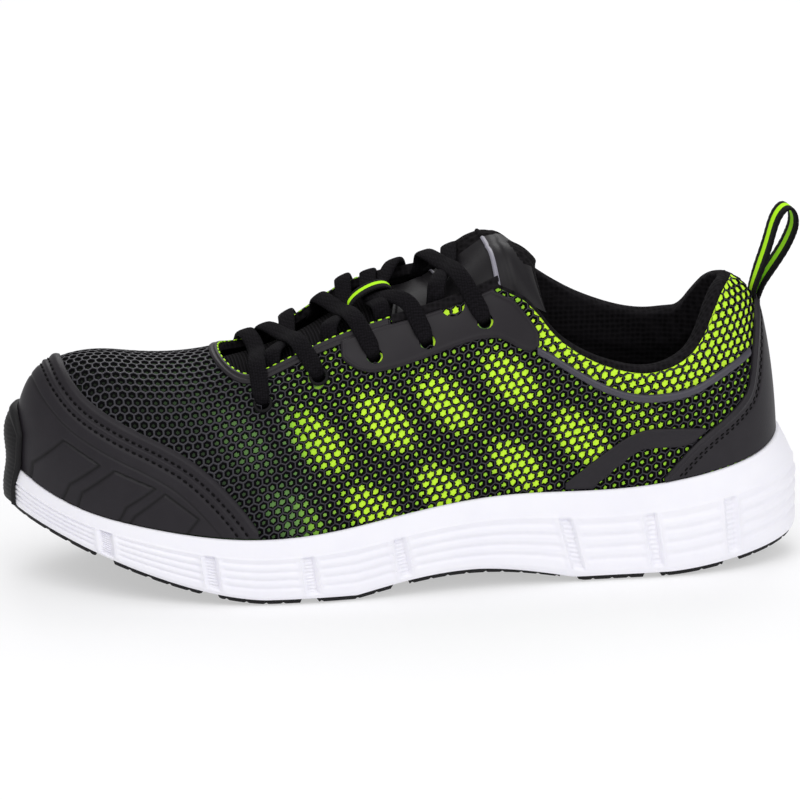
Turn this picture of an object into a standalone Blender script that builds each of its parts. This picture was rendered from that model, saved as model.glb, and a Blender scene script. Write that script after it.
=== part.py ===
"""Low safety trainer, left shoe, EU 42, standing on its sole.

Toe at -X, heel at +X, outer (lateral) side at -Y, inner (medial) side at +Y, +Z up.
Sizes are in millimetres and become metres when a mesh is made.
"""

import bmesh
import bpy
import numpy as np

MM = 0.001

# Driving sizes of the whole shoe.
GAP = 0.3              # clearance between pieces that touch
OVERLAY_GAP = 0.4      # clearance under a moulded overlay
WALL = 2.6             # net, foam and lining of the upper together
ROLL_RISE = 0.18       # height of the rolled edge of the upper, as a share of its thickness
GUARD_THICK = 1.4      # toe guard and heel counter
EYESTAY_THICK = 1.2
PIPING_THICK = 1.1
BAND_THICK = 1.0
OUTSOLE = 3.2          # rubber under a lug
GROOVE = 2.0           # depth of the tread between lugs
LIP = 2.4              # thickness of the midsole's lip at its top
RIB_DEPTH = 0.9        # flutes along the midsole's side
CHANNEL_DEPTH = 2.2    # slanted channels across the midsole's side
CHANNEL_WIDTH = 6.0

# Stations from the heel (0) to the toe (10). Each row gives the sole's edge on both sides, how far the
# upper stands inside it, the bed that the foot stands on, the midsole's lip on both sides, the crest that
# the section would close over, how full the section is (2 is an ellipse) and the collar's padding.
STATION_COLUMNS = ("lat_x", "lat_y", "med_x", "med_y", "inset", "bed", "lip_lat", "lip_med",
                   "crest_x", "crest_y", "crest_z", "fullness", "pad")
STATIONS = {
    "heel back":   (151.6,   0.0,  151.6,  0.0, 9.1, 26.0, 48.0, 48.0,   87.5, 0.0, 150.0, 2.25, 8.0),
    "heel corner": (138.0, -24.0,  138.0, 24.0, 7.0, 26.0, 42.5, 44.0,   86.0, 0.0, 150.0, 2.25, 7.5),
    "heel side":   (105.0, -36.5,  105.0, 36.0, 5.5, 25.0, 36.5, 39.0,   82.0, 0.0, 150.0, 2.25, 5.0),
    "heel breast": ( 70.0, -38.5,   70.0, 36.5, 5.0, 24.5, 34.0, 38.0,   66.0, 0.5, 147.0, 2.20, 4.0),
    "waist":       ( 35.0, -41.5,   37.0, 37.5, 5.0, 23.0, 34.5, 38.5,   33.0, 2.5, 126.0, 2.20, 0.0),
    "instep":      (  0.0, -46.5,    5.0, 43.0, 5.0, 20.0, 31.0, 34.0,    2.0, 4.0, 112.0, 2.10, 0.0),
    "ball":        (-35.0, -51.5,  -27.0, 51.0, 5.0, 17.0, 25.5, 27.5,  -30.0, 5.0,  98.5, 2.10, 0.0),
    "joint front": (-70.0, -50.5,  -63.0, 55.0, 4.8, 17.0, 24.2, 25.5,  -65.0, 6.0,  85.2, 1.90, 0.0),
    "toe side":    (-104.0, -40.5, -100.0, 51.5, 4.6, 21.5, 28.0, 29.0, -92.0, 7.0,  82.0, 2.20, 0.0),
    "toe corner":  (-132.0, -22.0, -130.0, 37.0, 4.5, 28.0, 34.5, 35.5, -104.0, 7.5, 83.4, 2.90, 0.0),
    "toe tip":     (-148.0,  8.0, -148.0,  8.0, 4.5, 34.0, 43.0, 43.0, -108.0, 8.0,  83.8, 3.40, 0.0),
}
TOE = len(STATIONS) - 1
ROUND = 2 * TOE
STATION_STEP = 33.0    # usual distance from one station to the next along the sole

# Edge of the upper behind the throat, as heights along the shoe.
COLLAR = (
    # x, lateral, medial
    (32.0, 111.8, 116.0),
    (38.0, 109.3, 114.8),
    (43.0, 107.2, 115.0),
    (48.0, 102.0, 111.8),
    (54.0,  93.7, 106.5),
    (62.0,  87.4, 100.6),
    (72.0,  82.2, 94.6),
    (86.0,  78.2, 89.0),
    (97.0,  79.6, 87.0),
    (106.0, 84.2, 88.0),
    (111.0, 91.0, 91.0),
    (116.0, 101.0, 99.5),
    (122.0, 107.5, 106.5),
    (133.0, 109.5, 109.5),
)

# Throat slot of the upper, in plan.
THROAT_FRONT = -68.5
THROAT_ROUND = 13.0
THROAT_HALF = 19.5
THROAT_MIDDLE = 1.0
THROAT_BACK = 32.0

# Upper edges of the overlays, as heights along the shoe on the lateral side.
TOE_GUARD_EDGE = ((-129.0, 90.0), (-127.0, 82.0), (-125.0, 77.5), (-119.0, 70.6), (-106.0, 63.0),
                  (-92.0, 56.8), (-79.5, 49.5), (-67.0, 37.0), (-58.0, 24.0))
COUNTER_EDGE = ((91.8, 34.0), (105.4, 48.3), (113.7, 54.3), (119.6, 58.0), (126.0, 63.0),
                (129.2, 67.6), (131.5, 83.8), (133.0, 95.0), (134.0, 99.5), (140.0, 100.0))
BAND_TOP = ((55.3, 36.0), (77.5, 51.9), (84.4, 55.2), (90.6, 56.6), (113.3, 54.8))
BAND_BOTTOM = ((66.5, 34.0), (83.2, 47.4), (88.0, 49.3), (105.4, 48.3), (113.3, 54.4))
EYESTAY_BOTTOM = ((-27.0, 87.5), (-24.0, 84.3), (-18.0, 81.8), (-11.6, 82.0), (-1.7, 84.1), (11.4, 88.3),
                  (23.3, 92.0), (30.8, 93.0), (36.0, 91.4), (41.2, 88.0), (45.0, 87.3), (48.6, 90.0))
EYESTAY_BACK = ((31.0, 118.0), (35.9, 109.0), (40.4, 104.5), (45.3, 98.6), (48.6, 93.0))
PIPING = ((48.5, 86.6), (52.7, 84.6), (61.6, 78.6), (71.4, 72.8), (81.2, 68.8), (90.8, 67.5),
          (105.7, 68.7), (118.1, 74.8), (127.2, 79.1), (131.6, 82.0))
PIPING_WIDTH = 2.5
MEDIAL_RISE = 5.0      # how much higher the eyestay lies on the inner side

# Eyelets, by their place along the shoe and their distance down from the throat's edge.
EYELET_X = (-56.0, -35.0, -14.0, 6.0, 28.0)
EYELET_DROP = 14.0
EYELET_RADIUS = 2.3

# Slanted channels in the midsole's side: the middle's place and the lean towards the heel.
CHANNELS = ((-116.0, 2.0), (-78.6, 2.2), (-42.0, 2.0), (-7.0, 3.0), (58.0, 9.5), (90.0, 7.5), (121.0, 5.3))

# Sole in side view.
FLAT_FRONT = (-58.0, -24.0)
FLAT_HEEL = (64.0, 96.0)
TOE_SPRING = 28.0
ARCH = 6.0
ARCH_FULLNESS = 1.0
HEEL_BEVEL = 8.5


def closed_curve(rows):
    """Smooth closed curve through the rows, as a function of the row number."""
    count = len(rows)
    matrix = 4 * np.eye(count) + np.roll(np.eye(count), 1, 0) + np.roll(np.eye(count), -1, 0)
    slopes = np.linalg.solve(matrix, 3 * (np.roll(rows, -1, 0) - np.roll(rows, 1, 0)))

    def value(place):
        first = int(np.floor(place)) % count
        after = (first + 1) % count
        part = place - np.floor(place)
        return ((1 + 2 * part) * (1 - part) ** 2 * rows[first] + part * (1 - part) ** 2 * slopes[first]
                + part ** 2 * (3 - 2 * part) * rows[after] + part ** 2 * (part - 1) * slopes[after])

    return value


def station_rows():
    """The table as one round: heel, lateral side, toe, medial side."""
    table = [dict(zip(STATION_COLUMNS, row)) for row in STATIONS.values()]
    shared = ("inset", "bed", "crest_x", "crest_y", "crest_z", "fullness", "pad")
    lateral = [[row["lat_x"], row["lat_y"], row["lip_lat"]] + [row[key] for key in shared] for row in table]
    medial = [[row["med_x"], row["med_y"], row["lip_med"]] + [row[key] for key in shared] for row in table]
    return np.array(lateral + medial[-2:0:-1])


ROUND_COLUMNS = ("x", "y", "lip", "inset", "bed", "crest_x", "crest_y", "crest_z", "fullness", "pad")
round_curve = closed_curve(station_rows())


def station(place):
    return dict(zip(ROUND_COLUMNS, round_curve(place)))


def sole_edge(place, outward=0.0):
    """Point of the sole's outline in plan, moved outward."""
    step = 0.01
    here = round_curve(place)[:2]
    along = round_curve(place + step)[:2] - round_curve(place - step)[:2]
    along /= np.linalg.norm(along)
    return here + outward * np.array((-along[1], along[0]))


SAMPLES = 97
SWEEP = np.linspace(0.0, np.pi / 2, SAMPLES)


def bare_section(place):
    """Curve of the upper's outside from the bed up to the crest, as points."""
    row = station(place)
    foot = sole_edge(place, -row["inset"])
    crest = np.array((row["crest_x"], row["crest_y"]))
    power = 2 / row["fullness"]
    inward = 1 - np.clip(np.cos(SWEEP), 0, 1) ** power
    upward = np.sin(SWEEP) ** power
    plan = foot + np.outer(inward, crest - foot)
    return np.column_stack((plan, row["bed"] + GAP + upward * (row["crest_z"] - row["bed"])))


class Section:
    """One station of the upper: its curve, its outward normals and the length along it."""

    def __init__(self, place):
        step = 0.02
        self.place = place
        self.points = bare_section(place)
        along = bare_section(place + step) - bare_section(place - step)
        up = np.gradient(self.points, axis=0)
        normals = np.cross(up, along)
        self.normals = normals / np.linalg.norm(normals, axis=1)[:, None]
        steps = np.linalg.norm(np.diff(self.points, axis=0), axis=1)
        self.lengths = np.concatenate(([0.0], np.cumsum(steps)))

    def at(self, length, lift=0.0):
        point = [np.interp(length, self.lengths, self.points[:, axis]) for axis in range(3)]
        normal = [np.interp(length, self.lengths, self.normals[:, axis]) for axis in range(3)]
        normal = np.array(normal) / np.linalg.norm(normal)
        return np.array(point) + lift * normal

    def reach(self, inside):
        """Length up to which the points stay inside a form; inside() takes x, y, z."""
        low, high = 0.0, self.lengths[-1]
        if inside(*self.at(high)):
            return high
        for _ in range(30):
            middle = (low + high) / 2
            if inside(*self.at(middle)):
                low = middle
            else:
                high = middle
        return low

    def reach_z(self, height):
        return self.reach(lambda x, y, z: z < height)


sections = {}


def section(place):
    key = round(place % ROUND, 6)
    if key not in sections:
        sections[key] = Section(key)
    return sections[key]


def is_lateral(place):
    return place % ROUND <= TOE


def mirrored(place):
    return ROUND - place


def line(rows, x):
    """Height of a drawn edge at x."""
    return np.interp(x, [row[0] for row in rows], [row[1] for row in rows])


def collar_height(x, lateral):
    column = 1 if lateral else 2
    return np.interp(x, [row[0] for row in COLLAR], [row[column] for row in COLLAR])


def throat_half(x):
    """Half width of the throat slot in plan; nothing in front of it."""
    if x <= THROAT_FRONT:
        return 0.0
    share = min(1.0, (x - THROAT_FRONT) / THROAT_ROUND)
    return THROAT_HALF * np.sqrt(1 - (1 - share) ** 2)


def on_upper(lateral):
    """Test for points of the form that belong to the upper, outside throat and collar."""

    def inside(x, y, z):
        if x > THROAT_BACK:
            return z < collar_height(x, lateral)
        return abs(y - THROAT_MIDDLE) > throat_half(x)

    return inside


def edge_length(place):
    """Length up to the throat or collar, or to the crest in front of the throat."""
    here = section(place)
    if here.points[-1, 0] < THROAT_FRONT:
        return here.lengths[-1]
    return here.reach(on_upper(is_lateral(place)))


def place_where(x, lateral, length_of):
    """Station number where the skin passes x, at the length that length_of() gives on a section."""
    low, high = 0.0, float(TOE)
    for _ in range(30):
        middle = (low + high) / 2
        here = section(middle if lateral else mirrored(middle))
        if here.at(length_of(here))[0] > x:
            low = middle
        else:
            high = middle
    return low if lateral else mirrored(low)


def place_at(x, height, lateral=True):
    """Station number where the skin passes x at this height."""
    return place_where(x, lateral, lambda here: here.reach_z(height))


def tread(x):
    """Underside of the sole in side view: flat at heel and forefoot, with toe spring and arch."""
    if x < FLAT_FRONT[0]:
        return TOE_SPRING * ((FLAT_FRONT[0] - x) / (FLAT_FRONT[0] - STATIONS["toe tip"][0])) ** 1.5
    if FLAT_FRONT[1] < x < FLAT_HEEL[0]:
        share = (x - FLAT_FRONT[1]) / (FLAT_HEEL[0] - FLAT_FRONT[1])
        return ARCH * np.sin(np.pi * share) ** ARCH_FULLNESS
    if x > FLAT_HEEL[1]:
        return HEEL_BEVEL * ((x - FLAT_HEEL[1]) / (STATIONS["heel back"][0] - FLAT_HEEL[1])) ** 1.5
    return 0.0


def spread(first, last, step):
    return list(np.linspace(first, last, max(2, int(round(abs(last - first) / step)) + 1)))


# Blender side: materials, meshes and solids.

def material(name, colour, roughness, metallic=0.0):
    made = bpy.data.materials.new(name)
    made.use_nodes = True
    shader = made.node_tree.nodes["Principled BSDF"]
    shader.inputs["Base Color"].default_value = (*colour, 1.0)
    shader.inputs["Roughness"].default_value = roughness
    shader.inputs["Metallic"].default_value = metallic
    return made


def solid(name, points, faces, finish):
    """Object from points in millimetres; faces are turned outwards."""
    mesh = bpy.data.meshes.new(name)
    mesh.from_pydata([tuple(float(value) * MM for value in point) for point in points], [], faces)
    work = bmesh.new()
    work.from_mesh(mesh)
    bmesh.ops.recalc_face_normals(work, faces=work.faces)
    work.to_mesh(mesh)
    work.free()
    mesh.shade_smooth()
    mesh.set_sharp_from_angle(angle=0.6)
    made = bpy.data.objects.new(name, mesh)
    made.data.materials.append(finish)
    bpy.context.scene.collection.objects.link(made)
    made.parent = shoe
    return made


def slab(name, outside, inside, finish):
    """Closed solid between two grids of points of one size."""
    rows, columns = len(outside), len(outside[0])
    points = [point for grid in (outside, inside) for row in grid for point in row]

    def index(layer, row, column):
        return layer * rows * columns + row * columns + column

    faces = []
    for layer in (0, 1):
        for row in range(rows - 1):
            for column in range(columns - 1):
                faces.append((index(layer, row, column), index(layer, row + 1, column),
                              index(layer, row + 1, column + 1), index(layer, row, column + 1)))
    edge = [(row, 0) for row in range(rows)] + [(rows - 1, column) for column in range(1, columns)]
    edge += [(row, columns - 1) for row in range(rows - 2, -1, -1)]
    edge += [(0, column) for column in range(columns - 2, 0, -1)]
    for here, after in zip(edge, edge[1:] + edge[:1]):
        faces.append((index(0, *here), index(0, *after), index(1, *after), index(1, *here)))
    return solid(name, points, faces, finish)


def cut(target, cutter):
    cutter.hide_render = True
    cutter.display_type = "WIRE"
    boolean = target.modifiers.new(cutter.name, "BOOLEAN")
    boolean.operation = "DIFFERENCE"
    boolean.solver = "EXACT"
    boolean.object = cutter


def join(target, other):
    other.hide_render = True
    other.display_type = "WIRE"
    boolean = target.modifiers.new(other.name, "BOOLEAN")
    boolean.operation = "UNION"
    boolean.solver = "EXACT"
    boolean.object = other


def make_upper(finish):
    """Hollow wall: outside rows from the bed to the edge, a rolled edge, and inside rows."""
    places = spread(0, 1.5, 0.19) + spread(1.8, 3.0, 0.3) + spread(3.15, 4.05, 0.13)
    places += spread(4.4, 6.8, 0.4) + spread(6.9, 7.3, 0.08) + spread(7.6, 8.5, 0.3)
    places += spread(8.7, TOE, 0.185)
    rows = 6
    last = len(places) - 1
    open_until = max(i for i, place in enumerate(places) if section(place).points[-1, 0] > THROAT_FRONT)
    points, index = [], {}

    def add(key, point):
        index[key] = len(points)
        points.append(point)

    for side in ("lateral", "medial"):
        for i, place in enumerate(places):
            here = section(place if side == "lateral" else mirrored(place))
            length = edge_length(here.place)
            pad = station(here.place)["pad"]
            for j in range(rows + 1):
                shared = side == "medial" and (i in (0, last) or (j == rows and i > open_until))
                for layer in ("out", "in"):
                    if shared:
                        index[side, i, j, layer] = index["lateral", i, j, layer]
                        continue
                    share = j / rows
                    swell = pad * np.clip((share - 0.3) / 0.5, 0, 1) ** 2 if i <= open_until else 0.0
                    lift = 0.0 if layer == "out" else -(WALL + swell)
                    add((side, i, j, layer), here.at(share * length, lift))
            if side == "medial" and i in (0, last) or i > open_until + 1:
                continue
            if i == open_until + 1 and side == "medial":
                index[side, i, "roll"] = index["lateral", i, "roll"]
                continue
            outer, inner = (points[index[side, i, rows, layer]] for layer in ("out", "in"))
            rise = ROLL_RISE * np.linalg.norm(outer - inner)
            add((side, i, "roll"), (outer + inner) / 2 + np.array((0, 0, rise)))
    index["medial", 0, "roll"] = index["lateral", 0, "roll"]

    faces = []
    for side in ("lateral", "medial"):
        for i in range(last):
            for layer in ("out", "in"):
                for j in range(rows):
                    faces.append([index[side, a, b, layer] for a, b in
                                  ((i, j), (i + 1, j), (i + 1, j + 1), (i, j + 1))])
            faces.append([index[side, i, 0, "out"], index[side, i + 1, 0, "out"],
                          index[side, i + 1, 0, "in"], index[side, i, 0, "in"]])
            if i <= open_until:
                for layer in ("out", "in"):
                    faces.append([index[side, i, rows, layer], index[side, i + 1, rows, layer],
                                  index[side, i + 1, "roll"], index[side, i, "roll"]])
    return solid("upper", points, faces, finish)


def eyelet_spot(x, lateral):
    """Section and length of one eyelet."""
    def length(here):
        return edge_length(here.place) - EYELET_DROP

    here = section(place_where(x, lateral, length))
    return here, length(here)


def eyelet_cutter(name, xs, sides):
    """Round punches through the upper, square to its surface."""
    work = bmesh.new()
    for lateral in sides:
        for x in xs:
            here, length = eyelet_spot(x, lateral)
            centre = here.at(length)
            normal = here.at(length, 1.0) - centre
            tilt = np.cross((0.0, 0.0, 1.0), normal)
            sideways = tilt / np.linalg.norm(tilt)
            forward = np.cross(normal, sideways)
            rings = []
            for depth in (-6.0, 6.0):
                ring = []
                for turn in np.linspace(0, 2 * np.pi, 10, endpoint=False):
                    offset = EYELET_RADIUS * (np.cos(turn) * sideways + np.sin(turn) * forward)
                    ring.append(work.verts.new((centre + offset + depth * normal) * MM))
                rings.append(ring)
            work.faces.new(rings[0])
            work.faces.new(rings[1])
            for i in range(len(rings[0])):
                work.faces.new((rings[0][i - 1], rings[0][i], rings[1][i], rings[1][i - 1]))
    bmesh.ops.recalc_face_normals(work, faces=work.faces)
    mesh = bpy.data.meshes.new(name)
    work.to_mesh(mesh)
    work.free()
    made = bpy.data.objects.new(name, mesh)
    bpy.context.scene.collection.objects.link(made)
    made.parent = shoe
    return made


def overlay(name, places, low, high, rows, thickness, finish):
    """Moulded skin on the upper between two edges; low() and high() take a section."""
    outside, inside = [], []
    for place in places:
        here = section(place)
        lengths = np.linspace(low(here), high(here), rows + 1)
        outside.append([here.at(length, OVERLAY_GAP + thickness) for length in lengths])
        inside.append([here.at(length, OVERLAY_GAP) for length in lengths])
    return slab(name, outside, inside, finish)


def above_lip(here):
    return here.reach_z(station(here.place)["lip"] + 0.6)


def make_toe_guard(finish):
    lateral_end = place_at(-60.5, 27.0)
    medial_end = place_at(-60.5, 27.0, False)
    places = spread(lateral_end, 8.6, 0.25) + spread(8.8, mirrored(8.8), 0.2)
    places += spread(mirrored(8.6), medial_end, 0.25)

    def high(here):
        top = here.reach(lambda x, y, z: x < TOE_GUARD_EDGE[0][0] or z < line(TOE_GUARD_EDGE, x))
        return max(top, above_lip(here) + 1.0)

    return overlay("toe_guard", places, above_lip, high, 8, GUARD_THICK, finish)


def make_heel_counter(finish):
    lateral_end = place_at(95.0, 37.0)
    medial_end = place_at(95.0, 40.0, False)
    places = spread(medial_end - ROUND, lateral_end, 0.2)

    def high(here):
        top = here.reach(lambda x, y, z: z < line(COUNTER_EDGE, x))
        return max(top, above_lip(here) + 1.0)

    return overlay("heel_counter", places, above_lip, high, 6, GUARD_THICK, finish)


def make_heel_band(name, lateral, finish):
    places = spread(place_at(57.0, 38.0, lateral), place_at(111.0, 54.0, lateral), 0.17)

    def low(here):
        def below(x, y, z):
            return z < max(line(BAND_BOTTOM, x), line(COUNTER_EDGE, x) + 0.9 if x > 95.0 else 0.0)
        return max(here.reach(below), above_lip(here))

    def high(here):
        top = here.reach(lambda x, y, z: z < line(BAND_TOP, x))
        return max(top, low(here) + 0.8)

    return overlay(name, places, low, high, 2, BAND_THICK, finish)


def make_eyestay(name, lateral, finish):
    rise = 0.0 if lateral else MEDIAL_RISE
    places = spread(place_at(-26.0, 88.0 + rise, lateral), place_at(29.0, 100.0 + rise, lateral), 0.15)
    places += spread(place_at(31.0, 100.0 + rise, lateral), place_at(47.8, 91.0 + rise, lateral), 0.1)

    def low(here):
        return here.reach(lambda x, y, z: z < line(EYESTAY_BOTTOM, x) + rise)

    def high(here):
        back = here.reach(lambda x, y, z: x < EYESTAY_BACK[0][0] or z < line(EYESTAY_BACK, x) + rise)
        return max(min(edge_length(here.place) - 0.6, back), low(here) + 1.0)

    made = overlay(name, places, low, high, 5, EYESTAY_THICK, finish)
    cut(made, eyelet_cutter(name + "_punch", EYELET_X[2:], (lateral,)))
    return made


def make_collar_piping(name, lateral, finish):
    rise = 0.0 if lateral else MEDIAL_RISE
    places = spread(place_at(50.5, 86.0 + rise, lateral), place_at(105.0, 68.0 + rise, lateral), 0.2)
    places += spread(place_at(109.0, 70.0 + rise, lateral), place_at(129.8, 80.0 + rise, lateral), 0.1)

    def low(here):
        return here.reach(lambda x, y, z: z < line(PIPING, x) + rise - PIPING_WIDTH / 2)

    return overlay(name, places, low, lambda here: low(here) + PIPING_WIDTH, 1, PIPING_THICK, finish)


# Side of the midsole as rings from the bottom (0) to the top of the lip (1): moved outward, ribbed or not.
MIDSOLE_RINGS = (
    # height, outward, rib
    (0.00, -1.6, 0), (0.06, -0.2, 0), (0.13, 0.0, 0), (0.20, 0.0, 1), (0.27, 0.0, 0), (0.34, 0.0, 1),
    (0.41, 0.0, 0), (0.48, 0.0, 1), (0.55, 0.0, 0), (0.62, 0.0, 1), (0.69, 0.0, 0), (1.00, 0.0, 0),
)


def sole_place(x, lateral):
    """Station number where the sole's outline passes x."""
    low, high = 0.0, float(TOE)
    for _ in range(40):
        middle = (low + high) / 2
        if round_curve(middle if lateral else mirrored(middle))[0] > x:
            low = middle
        else:
            high = middle
    return low if lateral else mirrored(low)


def sole_stations():
    """Rows of (lateral station, medial station, channel), doubled at channel edges, heel to toe."""
    wall = 0.03
    rows = []
    start = np.array((0.0, float(ROUND)))
    ahead = np.array((1.0, -1.0))
    for x, _ in sorted(CHANNELS, reverse=True):
        heel_edge, toe_edge = (np.array([sole_place(x + side * CHANNEL_WIDTH / 2, lateral)
                                         for lateral in (True, False)]) for side in (1, -1))
        stop = heel_edge - 2 * wall * ahead
        count = max(2, int(round((stop - start)[0] / 0.34)) + 1)
        rows += [(*pair, 0.0) for pair in np.linspace(start, stop, count)]
        rows += [(*(heel_edge + wall * ahead), 1.0), (*(toe_edge - wall * ahead), 1.0)]
        start = toe_edge + 2 * wall * ahead
    rows += [(*pair, 0.0) for pair in np.linspace(start, (TOE, TOE), 9)]
    return rows


def lean_at(x):
    rows = sorted(CHANNELS)
    return np.interp(x, [row[0] for row in rows], [row[1] for row in rows])


def midsole_floor(x):
    return tread(x) + OUTSOLE + GAP


def midsole_side(place, height, outward, rib, channel):
    """Point of the midsole's outside at a share of its height."""
    x = round_curve(place)[0]
    side = 1 if is_lateral(place) else -1
    from_heel = min(place % ROUND, mirrored(place % ROUND))
    shift = lean_at(x) * (height - 0.5) * np.sin(np.pi * from_heel / TOE)
    moved = place + side * shift / STATION_STEP
    row = station(moved)
    slope_in = (row["inset"] - LIP) * np.clip((height - 0.55) / 0.45, 0, 1) ** 1.5
    depth = max(rib * RIB_DEPTH, channel * CHANNEL_DEPTH * (0.1 < height < 0.72))
    edge = sole_edge(moved, outward - slope_in - depth)
    floor = midsole_floor(edge[0])
    return np.array((*edge, floor + height * (row["lip"] - floor)))


def make_midsole(finish):
    """Foam unit: ribbed outside, rounded lip, inside of the lip and the bed."""
    rows = sole_stations()
    around = [(lateral, channel) for lateral, _, channel in rows]
    around += [(medial, channel) for _, medial, channel in rows[-2:0:-1]]
    half = len(rows) - 1
    rings = [[midsole_side(place, *ring, channel) for place, channel in around] for ring in MIDSOLE_RINGS]
    lip_inside, bed_edge = [], []
    for place, _ in around:
        here = section(place)
        row = station(place)
        lip_inside.append(here.at(here.reach_z(row["lip"] - 0.3), OVERLAY_GAP))
        corner = here.at(0.0, OVERLAY_GAP)
        bed_edge.append(np.array((corner[0], corner[1], row["bed"])))
    rings += [lip_inside, bed_edge]
    count = len(around)
    points = [point for ring in rings for point in ring]
    faces = []
    for level in range(len(rings) - 1):
        for i in range(count):
            after = (i + 1) % count
            faces.append((level * count + i, level * count + after,
                          (level + 1) * count + after, (level + 1) * count + i))
    for level in (0, len(rings) - 1):
        faces += ladder(level * count, count, half)
    return solid("midsole", points, faces, finish)


def ladder(start, count, half):
    """Faces across a closed ring from its first side to the other, both with the same number of points."""
    faces = [(start, start + 1, start + count - 1)]
    for i in range(1, half - 1):
        faces.append((start + i, start + i + 1, start + count - i - 1, start + count - i))
    faces.append((start + half - 1, start + half, start + half + 1))
    return faces


# Tread from the lateral edge (0) to the medial edge (1): share of the width, in the middle groove or not.
TREAD_ACROSS = ((0.0, 0), (0.42, 0), (0.44, 1), (0.56, 1), (0.58, 0), (1.0, 0))
MIDDLE_GROOVE = (-113.0, 120.0)


def make_outsole(finish):
    """Rubber sheet with lugs between the channels, a middle groove and the bumper at the toe."""
    outside, inside = [], []
    for lateral, medial, channel in sole_stations()[1:-1]:
        ends = [sole_edge(place, -1.2) for place in (lateral, medial)]
        low_ends = [sole_edge(place, -1.8) for place in (lateral, medial)]
        top, bottom = [], []
        for share, groove in TREAD_ACROSS:
            above = ends[0] + share * (ends[1] - ends[0])
            below = low_ends[0] + share * (low_ends[1] - low_ends[0])
            height = tread(above[0])
            in_groove = groove and MIDDLE_GROOVE[0] < above[0] < MIDDLE_GROOVE[1]
            cut_in = GROOVE if channel or in_groove else 0.0
            top.append(np.array((*above, height + OUTSOLE)))
            bottom.append(np.array((*below, tread(below[0]) + cut_in)))
        outside.append(bottom)
        inside.append(top)
    made = slab("outsole", outside, inside, finish)
    join(made, toe_bumper(finish))
    return made


BUMPER_TOP = 67.0
BUMPER_ON_SOLE = (0.9, 1.7, 2.4)          # thickness up the midsole
BUMPER_ON_GUARD = (3.0, 4.2, 4.4, 3.6)    # thickness up the toe guard
BUMPER_ENDS = (9.58, 10.75)  # stations
BUMPER_FALL = 9.0      # how much lower its ends are


def toe_bumper(finish):
    """Rubber that climbs from the outsole over the midsole's front and the toe guard."""
    outside, inside = [], []
    for place in spread(BUMPER_ENDS[0], BUMPER_ENDS[1], 0.12):
        here = section(place)
        row = station(place)
        aside = 2 * abs(place - sum(BUMPER_ENDS) / 2) / (BUMPER_ENDS[1] - BUMPER_ENDS[0])
        fall = BUMPER_FALL * aside ** 3
        sole = [midsole_side(place, height, 0.0, 0, 0.0) for height in (0.12, 0.6, 1.0)]
        skin = [here.at(here.reach_z(height)) for height in
                np.linspace(row["lip"] + 3.0, max(BUMPER_TOP - fall, row["lip"] + 6.0), 4)]
        ground = tread(round_curve(place)[0])
        inner = [np.array((*sole_edge(place, -4.0), ground + 1.2)),
                 np.array((*sole_edge(place, OVERLAY_GAP), ground + OUTSOLE - 0.4))]
        outer = [np.array((*sole_edge(place, -2.0), ground + 0.4)),
                 np.array((*sole_edge(place, 1.0), ground + 2.2))]
        for point, thick in zip(sole, BUMPER_ON_SOLE):
            inner.append(point + outward_step(place, OVERLAY_GAP))
            outer.append(point + outward_step(place, OVERLAY_GAP + thick))
        base = OVERLAY_GAP + GUARD_THICK + OVERLAY_GAP
        for point, thick in zip(skin, BUMPER_ON_GUARD):
            inner.append(point + outward_step(place, base))
            outer.append(point + outward_step(place, base + 1.2 + (thick - 1.2) * (1 - aside ** 2)))
        inside.append(inner)
        outside.append(outer)
    return slab("toe_bumper", outside, inside, finish)


def outward_step(place, distance):
    plan = sole_edge(place, distance) - sole_edge(place)
    return np.array((*plan, 0.0))


INSOLE_THICKNESS = 4.5


def make_insole(finish):
    """Footbed inside the upper's wall."""
    places = spread(0, TOE, 0.25)
    around = places + [mirrored(place) for place in places[-2:0:-1]]
    rings = []
    for height, margin in ((GAP, 0.7), (INSOLE_THICKNESS, 1.2)):
        ring = []
        for place in around:
            row = station(place)
            edge = sole_edge(place, -(row["inset"] + WALL + margin))
            ring.append(np.array((*edge, row["bed"] + height)))
        rings.append(ring)
    count = len(around)
    points = rings[0] + rings[1]
    faces = [(i, (i + 1) % count, count + (i + 1) % count, count + i) for i in range(count)]
    faces += ladder(0, count, len(places) - 1) + ladder(count, count, len(places) - 1)
    return solid("insole", points, faces, finish)


# Tongue along the shoe: station, how far it reaches under each side, how deep its middle and edge lie
# below the upper's outside, and its thickness.
TONGUE_COLUMNS = ("place", "reach", "middle", "edge", "thick")
TONGUE = (
    (7.45, 12.0, 3.8, 3.6, 2.0),
    (7.05, 24.0, 4.4, 3.7, 3.5),
    (6.0, 29.0, 5.2, 3.8, 4.5),
    (5.0, 29.0, 5.6, 3.9, 5.0),
    (4.3, 27.0, 2.0, 4.2, 6.0),
    (4.0, 25.0, 0.2, 4.8, 7.0),
    (3.78, 22.0, 6.6, 7.5, 7.5),
    (3.62, 19.0, 16.0, 15.0, 7.0),
)


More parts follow.
